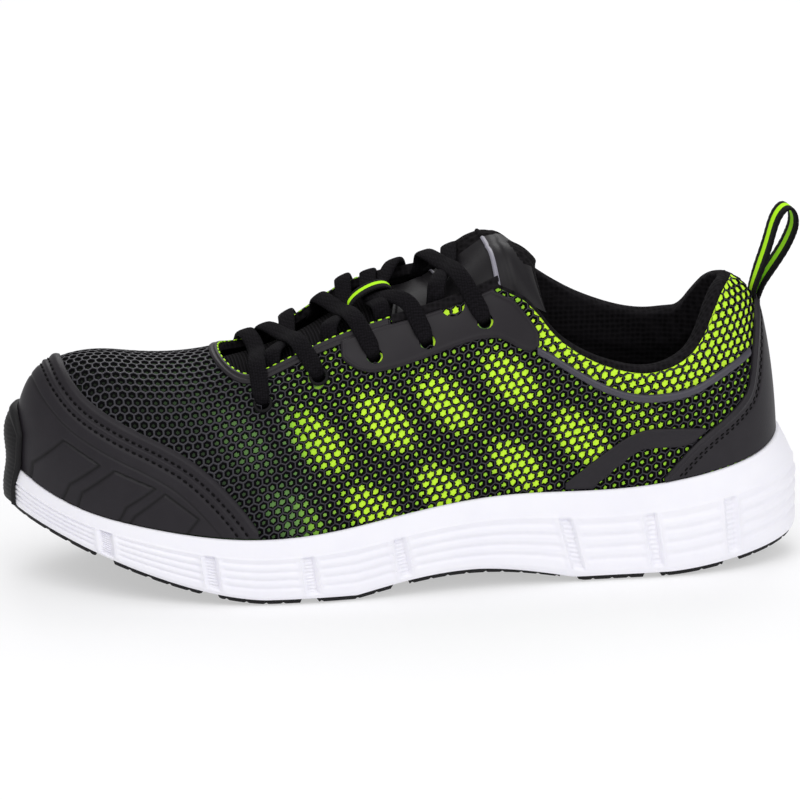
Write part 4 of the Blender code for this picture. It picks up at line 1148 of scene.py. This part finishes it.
# Heel bands: bent strips of the same film, one on each side, welded to the net.
# Each runs forward from the counter's edge and bends down to the midsole.
BAND_TOP = ((55.3, 36.0), (77.5, 51.9), (84.4, 55.2), (90.6, 56.6), (113.3, 54.8))
BAND_BOTTOM = ((66.5, 34.0), (83.2, 47.4), (88.0, 49.3), (105.4, 48.3), (113.3, 54.4))


def make_heel_band(name, lateral):
    places = np.linspace(place_at(57.0, 38.0, lateral), place_at(111.0, 54.0, lateral), 110)

    def low(here):
        def below(x, y, z):
            return z < max(line(BAND_BOTTOM, x), line(COUNTER_EDGE, x) + 0.9 if x > 95.0 else 0.0)
        return max(here.reach(below), above_lip(here))

    def high(here):
        return max(here.reach(lambda x, y, z: z < line(BAND_TOP, x)), low(here) + 0.8)

    points, normals = overlay_grid(places, low, high, 24)
    away = edge_distance(points, [points[:, -1], points[:, 0]])
    lift = 0.3 + 0.7 * rounded_edge(away, 0.9) - 0.15 * smooth_step(away, 1.6, 2.4)
    return add_overlay(name, points, normals, lift, film)


for side_name, outer_side in SIDES:
    band = make_heel_band("heel_band_film_" + side_name, outer_side)
    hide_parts("heel_band_" + side_name)

# Eyestays: thin moulded film beside the throat, welded to the net and punched for three eyelets.
# Each has a half-moon cut into its upper edge, where the net shows through.
EYESTAY_BOTTOM = ((-27.0, 87.5), (-24.0, 84.3), (-18.0, 81.8), (-11.6, 82.0), (-1.7, 84.1),
                  (11.4, 88.3), (23.3, 92.0), (30.8, 93.0), (36.0, 91.4), (41.2, 88.0), (45.0, 87.3),
                  (48.6, 90.0))
EYESTAY_BACK = ((31.0, 118.0), (35.9, 109.0), (40.4, 104.5), (45.3, 98.6), (48.6, 93.0))
HALF_MOON_X = 16.5
HALF_MOON_RADIUS = 4.6
FROM_EDGE = 3.4
FILM_HOLE_RADIUS = 3.1


def frame_on(here, length):
    """Outward, level and upward directions at a point of the upper."""
    normal = here.normal(length)
    aside = unit(np.cross((0.0, 0.0, 1.0), normal))
    return normal, aside, np.cross(normal, aside)


def add_punch(name, spots, radius, finish):
    """Round cutters square to the upper at sections and lengths, joined in one mesh."""
    points, faces = [], []
    turns = np.linspace(0, 2 * np.pi, 24, endpoint=False)
    for here, length in spots:
        normal, aside, ahead = frame_on(here, length)
        start = len(points)
        for depth in (-6.0, 6.0):
            points += [here.at(length) + depth * normal
                       + radius * (np.cos(turn) * aside + np.sin(turn) * ahead) for turn in turns]
        faces += grid_faces(2, 24, start, round_columns=True)
        faces += [tuple(range(start, start + 24)), tuple(range(start + 24, start + 48))]
    punch = add_piece(name, points, faces, [finish])
    add_values(punch, "tint", np.ones(len(points)))
    return punch


def punch_out(piece, punch):
    """Cuts the punch out of the piece and removes it."""
    cut = piece.modifiers.new("punch", "BOOLEAN")
    cut.operation = "DIFFERENCE"
    cut.solver = "EXACT"
    cut.object = punch
    bpy.ops.object.select_all(action="DESELECT")
    bpy.context.view_layer.objects.active = piece
    piece.select_set(True)
    bpy.ops.object.modifier_apply(modifier="punch")
    bpy.data.objects.remove(punch)
    piece.data.set_sharp_from_angle(angle=0.8)


def make_eyestay(name, lateral):
    rise = 0.0 if lateral else MEDIAL_RISE
    ends = [place_at(x, z + rise, lateral) for x, z in ((-26.0, 88.0), (47.8, 91.0))]
    places = np.linspace(*ends, 150)

    def low(here):
        return here.reach(lambda x, y, z: z < line(EYESTAY_BOTTOM, x) + rise)

    def high(here):
        back = here.reach(lambda x, y, z: x < EYESTAY_BACK[0][0] or z < line(EYESTAY_BACK, x) + rise)
        return max(min(edge_length(here.place) - FROM_EDGE, back), low(here) + 1.0)

    points, normals = overlay_grid(places, low, high, 46)
    away = edge_distance(points, [points[:, -1], points[:, 0], points[0], points[-1]])
    lift = 0.3 + 0.7 * rounded_edge(away, 1.0) + 0.2 * ridge(away, 0.9, 0.6)
    made = add_overlay(name, points, normals, lift, eyestay_film)
    holes = eyelet_spots(lateral)[2:]
    punch_out(made, add_punch(name + "_punch", holes, FILM_HOLE_RADIUS, eyestay_film))
    moon = [spot_below_edge(HALF_MOON_X, FROM_EDGE, lateral)]
    punch_out(made, add_punch(name + "_moon", moon, HALF_MOON_RADIUS, eyestay_film))
    return made


# The eyestay's film is smoother than the guard's and takes a broad soft shine.
eyestay_film = new_finish("smooth charcoal film", "#232024", 0.45, 0.2)
add_pattern(eyestay_film, "Noise", 9.0, tones=("#201d21", "#262327"))
add_pattern(eyestay_film, "Noise", 1.0, (0.03, 0.6))
for side_name, outer_side in SIDES:
    eyestay = make_eyestay("eyestay_film_" + side_name, outer_side)
    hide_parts("eyestay_" + side_name)
eyelets = eyelet_spots(True) + eyelet_spots(False)
punch_out(upper, add_punch("upper_punch", eyelets, EYELET_RADIUS, lining_cloth))

# Collar piping: a narrow half-round band of satin film on each side, welded to the net.
# It starts behind the eyestay, follows the collar below its padded edge and ends at the counter.
PIPING_WIDTH = 3.1


def make_collar_piping(name, lateral):
    rise = 0.0 if lateral else MEDIAL_RISE
    ends = [place_at(x, z + rise, lateral) for x, z in ((47.0, 87.6), (129.8, 80.0))]
    places = np.linspace(*ends, 160)

    def low(here):
        return here.reach(lambda x, y, z: z < line(PIPING, x) + rise - PIPING_WIDTH / 2)

    points, normals = overlay_grid(places, low, lambda here: low(here) + PIPING_WIDTH, 12)
    away = edge_distance(points, [points[:, -1], points[:, 0]])
    return add_overlay(name, points, normals, 0.2 + 0.9 * rounded_edge(away, 1.1), satin_film)


# Satin film: slate with a violet cast and a clear highlight along its crown.
satin_film = new_finish("satin slate film", "#3c3a44", 0.35, 0.45)
add_pattern(satin_film, "Noise", 1.2, (0.03, 0.6))
for side_name, outer_side in SIDES:
    piping = make_collar_piping("piping_film_" + side_name, outer_side)
    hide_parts("collar_piping_" + side_name)

# Throat edge: in front, a moulded strip with two ridges, sewn with bright thread along its inner edge.
# Behind it, beside the upper eyelets, a folded knit binding covers the edge.
STRIP_WIDTH = 3.4
KNIT_FROM = -7.0


def skin_at(x, y, lift):
    """Points of the upper's outside above points in plan, moved outward."""
    found = np.empty((len(x), 3))
    for number in range(len(x)):
        crest = np.interp(x[number], net_sides[True].x, net_sides[True].table[:, -1, 1])
        side = net_sides[bool(y[number] < crest)]
        row = np.clip((x[number] - side.x[0]) / (side.x[1] - side.x[0]), 0, len(side.x) - 1.001)
        i = int(row)
        across = (1 - row + i) * side.table[i, :, 1] + (row - i) * side.table[i + 1, :, 1]
        turned = 1 if side.lateral else -1
        share = np.interp(turned * y[number], turned * across, np.linspace(0, 1, len(across)))
        length = share * np.interp(x[number], side.x, side.total)
        found[number] = side.at(x[number:number + 1], np.array([length]), np.array([lift[number]]))[0]
    return found


def throat_outline(back):
    """Plan of the throat's edge round from the lateral to the medial back, with outward normals."""
    bend = THROAT_FRONT + THROAT_ROUND
    straight = np.linspace(back, bend, 90)[:-1]
    turn = np.linspace(-np.pi / 2, -3 * np.pi / 2, 90)
    lateral = np.column_stack((straight, np.full(len(straight), THROAT_MIDDLE - THROAT_HALF)))
    front = np.column_stack((bend + THROAT_ROUND * np.cos(turn),
                             THROAT_MIDDLE + THROAT_HALF * np.sin(turn)))
    medial = lateral[::-1] * (1, -1) + (0, 2 * THROAT_MIDDLE)
    outline = np.concatenate((lateral, front, medial))
    along = unit(np.gradient(outline, axis=0))
    return outline, np.column_stack((-along[:, 1], along[:, 0]))


def throat_grid(outline, outward, offsets, lifts):
    """Grid of points beside the throat's edge; offsets run outward from it."""
    rows = []
    for offset, lift in zip(offsets, lifts):
        plan = outline + offset * outward
        rows.append(skin_at(plan[:, 0], plan[:, 1], np.broadcast_to(lift, len(plan))))
    return np.stack(rows, 1)


def make_throat_strip():
    outline, outward = throat_outline(KNIT_FROM - 0.5)
    offsets = np.linspace(0.25, STRIP_WIDTH, 16)
    lift = 0.45 + 0.35 * rounded_edge(np.minimum(offsets, STRIP_WIDTH + 0.25 - offsets), 0.5)
    lift += 0.3 * ridge(offsets, 1.0, 0.45) + 0.3 * ridge(offsets, 2.6, 0.45)
    outside = throat_grid(outline, outward, offsets, lift)
    inside = throat_grid(outline, outward, offsets, np.full(len(offsets), 0.15))
    strip = add_slab("throat_strip", outside, inside, [eyestay_film], 0.8)
    edge, above = (throat_grid(outline, outward, (0.1,), (height,))[:, 0] for height in (0.0, 1.0))
    stitches = add_stitches("throat_stitches", [(edge, above - edge)], 0.55, bright_thread, 3.0,
                            (2.0, 0.8, 0.7))
    return strip, stitches


def make_knit_binding(name, lateral):
    """Rolled knit along the edge beside the upper eyelets."""
    outline, outward = throat_outline(THROAT_BACK + 2.0)
    half = len(outline) // 2
    keep = outline[:, 0] > KNIT_FROM
    keep[half:] &= not lateral
    keep[:half] &= lateral
    outline, outward = outline[keep], outward[keep]
    offsets = np.concatenate(([-0.4, -0.4, -0.4], np.linspace(-0.3, 2.2, 12)))
    rounded = np.sin(np.linspace(0.25, np.pi, 12)) ** 0.6
    lift = np.concatenate(([-3.2, -1.5, 0.0], 0.35 + 1.35 * rounded))
    outside = throat_grid(outline, outward, offsets, lift)
    inner = np.concatenate(([0.2, 0.2, 0.2], np.linspace(0.2, 2.0, 12)))
    inside = throat_grid(outline, outward, inner, np.minimum(lift - 0.3, 0.2))
    return add_slab(name, outside, inside, [lining_knit], 1.2)


# Bright polyester thread: a saturated yellow green with a small shine.
bright_thread = new_finish("bright sewing thread", "#b4f21c", 0.5, 0.3)
add_pattern(bright_thread, "Noise", 0.4, (0.08, 1.0))
throat_strip, throat_stitches = make_throat_strip()
for side_name, outer_side in SIDES:
    binding = make_knit_binding("knit_binding_" + side_name, outer_side)

# Eyelet loops: rings of black braided cord round the first two eyelets of each side.
# They lie half sunk in the net, and the lace goes down through them.
LOOP_THICK = 1.3


def add_tube(points, faces, path, sideways, upward, widths, heights, turns=16, closed=False):
    """Adds an oval tube along a path to lists of points and faces."""
    start = len(points)
    angle = np.linspace(0, 2 * np.pi, turns, endpoint=False)
    for spot, aside, up, width, high in zip(path, sideways, upward, widths, heights):
        points.extend(spot + width / 2 * np.sign(c) * abs(c) ** 0.8 * aside
                      + high / 2 * np.sign(s) * abs(s) ** 0.8 * up
                      for c, s in zip(np.cos(angle), np.sin(angle)))
    faces += grid_faces(len(path), turns, start, round_rows=closed, round_columns=True)
    if not closed:
        last = start + (len(path) - 1) * turns
        faces += [tuple(range(start, start + turns)), tuple(range(last, last + turns))]


def make_eyelet_loops(finish):
    points, faces = [], []
    turn = np.linspace(0, 2 * np.pi, 32, endpoint=False)
    for lateral in (True, False):
        for here, length in eyelet_spots(lateral)[:2]:
            normal, aside, ahead = frame_on(here, length)
            out = np.cos(turn)[:, None] * aside + np.sin(turn)[:, None] * ahead
            path = here.at(length, 0.5) + (EYELET_RADIUS + 0.8) * out
            thick = np.full(32, LOOP_THICK)
            upward = np.broadcast_to(normal, out.shape)
            add_tube(points, faces, path, out, upward, thick, thick, 10, closed=True)
    return add_piece("eyelet_loops", points, faces, [finish], sharp=1.6)


# Braided cord: black, with a soft shine on its twist.
cord = new_finish("black braided cord", "#0f0e10", 0.6, 0.15)
add_pattern(cord, "Noise", 0.5, (0.15, 1.0))
eyelet_loops = make_eyelet_loops(cord)

# Tongue: a padded flap sewn in at the front of the throat, ribbed knit below and smooth panels above.
# Two pale reflective pipings cross it, and its end is a satin panel over a roll of coarse black mesh.
TONGUE_COLUMNS = ("place", "reach", "middle", "edge", "thick", "trail", "rim")
TONGUE = (
    (7.45, 12.0, 3.8, 3.6, 2.0, 0.0, 0.0),
    (7.05, 24.0, 5.0, 3.9, 3.5, 0.0, 0.0),
    (6.0, 29.0, 6.8, 4.2, 4.5, 0.0, 0.0),
    (5.0, 29.0, 8.8, 4.8, 5.0, 0.0, 0.0),
    (4.6, 29.0, 9.0, 5.0, 5.5, 0.0, 2.0),
    (4.35, 28.0, 8.4, 5.4, 6.0, 0.0, 9.0),
    (4.2, 29.0, 7.4, 5.8, 6.5, 0.02, 9.5),
    (4.05, 32.0, 6.0, 6.4, 7.0, 0.08, 8.5),
    (3.95, 38.0, 6.4, 7.4, 7.5, 0.17, 7.5),
    (3.88, 44.0, 9.6, 9.0, 7.5, 0.27, 5.5),
    (3.84, 49.0, 13.5, 9.0, 7.0, 0.32, 3.0),
)
RIM_AT = 0.5
RIM_HALF = 0.22
RIM_FROM = 17.0
ROLL_AT = (39.0, -0.1)
ROLL_HALF = (2.6, 0.36)
PANEL_FROM = -5.2
PANEL_HIGH = 0.5
PIPING_AT = (11.5, 30.6)
PIPING_HALF = 0.65
PIPING_HIGH = 0.7
SEAMS = (-4.0, 8.2, 33.8)
SEAM_DEPTH = 0.35
END_PANEL_FROM = 32.4
END_PANEL_RISE = 0.9


def make_tongue():
    most_reach, edge_thinner = 0.55, 0.65
    across = np.linspace(-1, 1, 49)
    places = np.linspace(TONGUE[0][0], TONGUE[-1][0], 380)
    crests = [section(place).points[-1, 0] for place in places]
    sizes = {"place": places}
    for i, name in enumerate(TONGUE_COLUMNS[1:], 1):
        drawn = np.interp(places, [row[0] for row in TONGUE[::-1]], [row[i] for row in TONGUE[::-1]])
        sizes[name] = np.convolve(np.pad(drawn, 4, "edge"), np.ones(9) / 9, "valid")
    outside, inside = [], []
    for number, crest_x in enumerate(crests):
        size = {name: sizes[name][number] for name in TONGUE_COLUMNS}
        top, under = [], []
        for share in across:
            place = size["place"] - size["trail"] * abs(share) ** 1.5
            here = section(place if share <= 0 else mirrored(place))
            length = here.lengths[-1] - abs(share) * min(size["reach"], most_reach * here.lengths[-1])
            deep = size["middle"] + (size["edge"] - size["middle"]) * abs(share) ** 2
            thick = size["thick"] * (1 - edge_thinner * abs(share) ** 2.5)
            relief = PANEL_HIGH * smooth_step(crest_x, PANEL_FROM - 0.4, PANEL_FROM)
            relief *= 1 - abs(share) ** 6
            for middle in PIPING_AT:
                relief += PIPING_HIGH * np.sqrt(max(0.0, 1 - ((crest_x - middle) / PIPING_HALF) ** 2))
            relief -= sum(SEAM_DEPTH * ridge(crest_x, seam, 0.7) for seam in SEAMS)
            relief += END_PANEL_RISE * smooth_step(crest_x, END_PANEL_FROM, END_PANEL_FROM + 5.0)
            relief += size["rim"] * np.exp(-((share - RIM_AT) / RIM_HALF) ** 2)
            top.append(here.at(length, -deep + relief))
            under.append(here.at(length, -deep - thick))
        outside.append(top)
        inside.append(under)
    outside, inside = np.array(outside), np.array(inside)
    ahead = unit(outside[-1] - outside[-4])
    middle, half = (outside[-1] + inside[-1]) / 2, (outside[-1] - inside[-1]) / 2
    radius = np.linalg.norm(half, axis=1)[:, None]
    roll_top = [middle + np.cos(turn) * half + np.sin(turn) * radius * ahead
                for turn in np.linspace(0, np.pi / 2, 9)[1:]]
    roll_under = [middle - np.cos(turn) * half + np.sin(turn) * radius * ahead
                  for turn in np.linspace(0, np.pi / 2, 9)[1:-1]]
    roll_under.append(roll_top[-1] - 0.05 * half)
    outside = np.concatenate((outside, roll_top))
    inside = np.concatenate((inside, roll_under))
    finishes = [tongue_knit, panel, reflective, satin, roll_mesh]
    is_knit, is_panel, is_reflective, is_satin, is_mesh = range(len(finishes))
    made = add_slab("tongue_pad", outside, inside, finishes, 1.0)
    rows, columns = outside.shape[:2]
    finish = np.full(len(made.data.polygons), is_mesh, np.int32)
    x = np.append(crests, np.full(rows - len(crests), crests[-1]))[:-1, None] * np.ones(columns - 1)
    face = np.where(x < PANEL_FROM, is_knit, np.where(x < END_PANEL_FROM, is_panel, is_satin))
    for middle_x in PIPING_AT:
        face = np.where(np.abs(x - middle_x) < PIPING_HALF, is_reflective, face)
    face[len(places) + 3:] = is_mesh
    middles = (across[1:] + across[:-1]) / 2
    face = np.where((x > RIM_FROM) & (middles > RIM_AT - RIM_HALF), is_mesh, face)
    opening = np.hypot((x - ROLL_AT[0]) / ROLL_HALF[0], (middles - ROLL_AT[1]) / ROLL_HALF[1]) < 1
    face = np.where(opening, is_mesh, face)
    finish[:(rows - 1) * (columns - 1)] = face.ravel()
    made.data.polygons.foreach_set("material_index", finish)
    return made


# Ribbed knit: black and matt, its ribs about 1 mm apart across the tongue, drawn a little coarser.
# The texture's bands come 0.314 of its size apart.
tongue_knit = new_finish("black ribbed knit", "#0f0e10", 0.9, 0.07)
add_pattern(tongue_knit, "Wave", 1.2 / 0.314, (0.4, 1.0), ("#0b0a0b", "#1d1b1e"),
            (("Distortion", 0.6), ("Detail", 1.0)), bands_direction="X")
# Coated panel: dark grey, smooth, with a dull shine.
panel = new_finish("coated dark panel", "#1c1a1d", 0.5, 0.2)
add_pattern(panel, "Noise", 0.8, (0.05, 1.0))
# Reflective piping: pale grey film with a cool cast.
reflective = new_finish("pale reflective film", "#8d8b97", 0.4)
add_pattern(reflective, "Noise", 0.6, (0.04, 1.0))
# Satin panel: charcoal film with a broad soft highlight.
satin = new_finish("satin charcoal film", "#1c1a1d", 0.45, 0.2)
add_pattern(satin, "Noise", 1.2, (0.03, 1.0))
# Spacer mesh: coarse and black, with small round eyes about 2 mm apart.
roll_mesh = new_finish("coarse black mesh", "#0e0d0e", 0.9, 0.07)
add_pattern(roll_mesh, "Voronoi", 2.0, (0.7, 1.0), ("#080708", "#1f1d1f"), (("Randomness", 0.4),))
tongue = make_tongue()
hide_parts("tongue")

# Tongue keeper: a bridge of woven webbing, black with a bright stripe, sewn to the tongue at both ends.
# The third crossing of the lace runs under it.
KEEPER_ENDS = (-21.5, -6.0)
KEEPER_WIDTH = 11.0
KEEPER_HIGH = -0.6
KEEPER_MIDDLE = 2.6
WEBBING = 1.3


def add_webbing(name, path, width, middle_y, closed, twist=0.0):
    """Woven band along a path in side view: black, with a bright stripe in the middle of both faces."""
    columns, stripe, tooth = 25, 0.36, 0.3
    along = unit(np.roll(path, -1, 0) - np.roll(path, 1, 0) if closed else np.gradient(path, axis=0))
    aside = np.column_stack((-along[:, 1], along[:, 0])) * WEBBING / 2
    share = np.linspace(-1, 1, columns)
    serrated = 1 + tooth / width * np.sign(np.sin(np.arange(len(path)) * 2.1))
    rounding = np.sqrt(1 - 0.75 * np.abs(share) ** 8)
    layers = []
    for turned in (1, -1):
        flat = path[:, None] + turned * aside[:, None] * rounding[None, :, None]
        y = middle_y + width / 2 * share[None] * serrated[:, None]
        turn = twist * smooth_step(flat[..., 1], flat[..., 1].min() + 3.0, flat[..., 1].min() + 14.0)
        ahead = flat[..., 0] - path[0, 0]
        x = path[0, 0] + ahead * np.cos(turn) - y * np.sin(turn)
        y = ahead * np.sin(turn) + y * np.cos(turn)
        layers.append(np.dstack((x, y, flat[..., 1])))
    outside, inside = layers
    count = len(path)
    points = np.concatenate((outside.reshape(-1, 3), inside.reshape(-1, 3)))
    faces = grid_faces(count, columns, 0, closed) + grid_faces(count, columns, count * columns, closed)
    middle_of = (share[1:] + share[:-1]) / 2
    row_finish = (np.abs(middle_of) < stripe).astype(int)
    steps = count if closed else count - 1
    finish = np.tile(row_finish, 2 * steps).tolist()
    for column in (0, columns - 1):
        for i in range(steps):
            here, after = i * columns + column, (i + 1) % count * columns + column
            faces.append((here, after, after + count * columns, here + count * columns))
            finish.append(0)
    if not closed:
        for i in (0, count - 1):
            for column in range(columns - 1):
                here = i * columns + column
                faces.append((here, here + 1, here + 1 + count * columns, here + count * columns))
                finish.append(0)
    return add_piece(name, points, faces, [webbing, bright_webbing], finish, sharp=0.9)


def make_tongue_keeper():
    over_crest = 200.0
    feet = []
    for x in KEEPER_ENDS:
        place = place_at(x, over_crest)
        deep = np.interp(place, [row[0] for row in TONGUE][::-1], [row[2] for row in TONGUE][::-1])
        feet.append(section(place).at(section(place).lengths[-1], -deep + GAP + WEBBING / 2 + 0.4))
    path = []
    for turn in np.linspace(np.pi, 0, 61):
        share = (1 + np.cos(turn)) / 2
        crest_place = place_at(feet[0][0] + share * (feet[1][0] - feet[0][0]), over_crest)
        crest = section(crest_place).at(section(crest_place).lengths[-1], KEEPER_HIGH)
        foot = feet[0] + share * (feet[1] - feet[0])
        path.append((foot[0], foot[2] + max(np.sin(turn), 0.0) ** 0.6 * (crest[2] - foot[2])))
    return add_webbing("keeper_webbing", np.array(path), KEEPER_WIDTH, KEEPER_MIDDLE, False)


# Woven webbing: black and matt with a coarse weave, about 1 mm between threads.
webbing = new_finish("woven black webbing", "#100f11", 0.8, 0.1)
add_pattern(webbing, "Noise", 0.7, (0.25, 1.0))
# The bright stripe is woven in the same webbing with dyed yarn.
bright_webbing = new_finish("woven bright webbing", "#b8fa08", 0.8, 0.2)
add_pattern(bright_webbing, "Noise", 0.7, (0.2, 1.0))
tongue_keeper = make_tongue_keeper()
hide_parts("tongue_keeper")

# Lace: one flat oval black woven lace, in a straight bar at the front and four crossings behind it.
# Each run of a crossing comes up from under one side of the throat, lies over the other side and goes
# down through its eyelet. Both ends are tucked in at the top eyelets.
LACE_WIDTH = 6.7
LACE_THICK = 2.2
LACE_LIFT = 2.5
LACE_DIP = 7.2
LACE_ON_EYESTAY = 0.2
EYELET_DIVE = 6.0
UNDER_EDGE = 3.3
UNDER_REACH = 4.5
KEEPER_PULL = 0.26
CROSS_OVER = 0.9


def lace_path(lateral_spot, medial_spot, pull, raised, lateral_down, medial_down):
    """Points, normals and widths of a run; an end goes down an eyelet or under the throat's edge."""
    narrower, thicker, flatter = 1.2, 0.5, 0.8
    (first, first_length), (second, second_length) = lateral_spot, medial_spot
    left = first.lengths[-1] - first_length
    right = second.lengths[-1] - second_length
    span = left + right
    tucked = (EYELET_DROP - UNDER_REACH) / span
    low, high = (0.0 if lateral_down else tucked), (1.0 if medial_down else 1.0 - tucked)
    points, normals, widths, heights = [], [], [], []
    for share in np.linspace(low, high, 90):
        inward = np.clip((min(share, 1 - share) - LACE_ON_EYESTAY) / (0.5 - LACE_ON_EYESTAY), 0, 1)
        sag = inward ** 2 * (3 - 2 * inward)
        place = first.place + share * (mirrored(second.place) - first.place) + pull * sag
        along = -left + share * span
        here = section(place) if along <= 0 else section(mirrored(place))
        length = here.lengths[-1] - abs(along)
        lift = LACE_LIFT + (raised - LACE_DIP) * sag
        width, thick = LACE_WIDTH, LACE_THICK
        for down, reach in ((lateral_down, share * span), (medial_down, (1 - share) * span)):
            if down:
                near = 1 - smooth_step(reach, 0.0, 4.0)
                lift -= EYELET_DIVE * near ** 3
                width -= narrower * (1 - smooth_step(reach, 1.0, 5.0))
                thick += thicker * (1 - smooth_step(reach, 1.0, 6.0))
            else:
                under = 1 - smooth_step(reach, EYELET_DROP - 2.0, EYELET_DROP + 7.0)
                lift = lift * (1 - under) - UNDER_EDGE * under
                thick -= flatter * under
        points.append(here.at(length, lift))
        normals.append(here.normal(length))
        widths.append(width)
        heights.append(thick)
    return np.array(points), np.array(normals), np.array(widths), np.array(heights)


def make_lace(finish):
    spots = {lateral: eyelet_spots(lateral) for lateral in (True, False)}
    runs = [(0, 0, 0.0, 0.6, True, True)]
    for i in range(len(EYELET_X) - 1):
        pull = KEEPER_PULL if i == 2 else 0.0
        runs += [(i, i + 1, pull, -0.1, False, True),
                 (i + 1, i, pull, 2 * CROSS_OVER - 0.1, True, False)]
    points, faces = [], []
    for lateral, medial, *shape in runs:
        path, normals, widths, heights = lace_path(spots[True][lateral], spots[False][medial], *shape)
        along = unit(np.gradient(path, axis=0))
        sideways = unit(np.cross(along, normals))
        add_tube(points, faces, path, sideways, np.cross(sideways, along), widths, heights)
    return add_piece("lace_runs", points, faces, [finish], sharp=1.6)


# Woven lace: black, matt and a little fuzzy, with threads about 0.9 mm apart.
lace_weave = new_finish("woven black lace", "#0b0a0c", 0.9, 0.07)
add_pattern(lace_weave, "Voronoi", 0.9, (0.25, 1.0), ("#1c1a1e", "#020202"), (("Randomness", 0.3),))
lace = make_lace(lace_weave)
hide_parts("lace")

# Pull loop: the same webbing folded into a loop and sewn into the seam at the top of the heel.
# It stands up behind the collar and leans back.
PULL_LOOP = ((134.4, 99.5), (135.8, 105.0), (138.6, 113.0), (140.9, 120.3), (143.2, 127.6),
             (146.7, 131.9), (149.6, 130.4), (150.4, 126.0), (149.2, 121.5), (146.2, 115.6),
             (141.6, 108.8), (138.0, 103.2), (136.4, 99.2), (135.3, 97.6))
PULL_LOOP_WIDTH = 12.0
PULL_LOOP_TWIST = np.radians(5.0)
smooth_path = closed_curve(np.array(PULL_LOOP))(np.linspace(0, len(PULL_LOOP), 120, endpoint=False))
pull_loop = add_webbing("pull_loop_webbing", smooth_path, PULL_LOOP_WIDTH, 0.0, True, PULL_LOOP_TWIST)
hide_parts("pull_loop")

# Stage: a plain pale floor of opal acrylic, large soft lights in front, at the side and behind, and the
# camera at the photo's angle. None of it belongs to the shoe.
AZIMUTH, ELEVATION = -9.0, 15.0
CAMERA_DISTANCE = 3000.0
MM_PER_PIXEL = 0.376
IMAGE_PIXELS = 800
AIM = (0.0, 0.0, 62.7)


def make_stage():
    # Opal acrylic: matt white, lit softly from below so that shadows stay pale.
    acrylic = new_finish("opal acrylic", "#bdbdbf", 0.9, sockets=(
        ("Emission Color", linear("#ffffff")), ("Emission Strength", 0.48)))
    bpy.ops.mesh.primitive_plane_add(size=6.0, location=(0.0, 0.0, -0.0005))
    floor = bpy.context.object
    floor.name = "floor"
    bpy.ops.object.transform_apply(location=True)
    floor.data.materials.append(acrylic)


def add_light(name, place, aim, width, watts):
    lamp = bpy.data.lights.new(name, "AREA")
    lamp.size = width
    lamp.energy = watts
    made = bpy.data.objects.new(name, lamp)
    made.location = place
    made.rotation_euler = (Vector(aim) - Vector(place)).to_track_quat("-Z", "Y").to_euler()
    bpy.context.scene.collection.objects.link(made)


def add_camera():
    turn, rise = np.radians((AZIMUTH, ELEVATION))
    back = np.array((np.sin(turn) * np.cos(rise), -np.cos(turn) * np.cos(rise), np.sin(rise)))
    aim = (np.array(AIM) - (MIDDLE_X, MIDDLE_Y, 0.0)) * MM
    place = aim + back * CAMERA_DISTANCE * MM
    lens = bpy.data.cameras.new("camera")
    lens.sensor_width = 36.0
    lens.lens = 36.0 * CAMERA_DISTANCE / (MM_PER_PIXEL * IMAGE_PIXELS)
    made = bpy.data.objects.new("camera", lens)
    made.location = place
    made.rotation_euler = (-Vector(back)).to_track_quat("-Z", "Y").to_euler()
    bpy.context.scene.collection.objects.link(made)
    bpy.context.scene.camera = made


make_stage()
add_light("key", (-0.4, -0.8, 1.4), (0.0, 0.0, 0.05), 1.2, 10.2)
add_light("fill", (0.9, -1.2, 0.7), (0.0, 0.0, 0.05), 0.9, 5.0)
add_light("rim", (0.2, 1.1, 1.2), (0.0, 0.0, 0.05), 1.0, 8.0)
sky = bpy.data.worlds.new("studio")
sky.use_nodes = True
sky.node_tree.nodes["Background"].inputs["Color"].default_value = linear("#ffffff")
sky.node_tree.nodes["Background"].inputs["Strength"].default_value = 0.5
bpy.context.scene.world = sky
bpy.context.scene.view_settings.view_transform = "Standard"
add_camera()
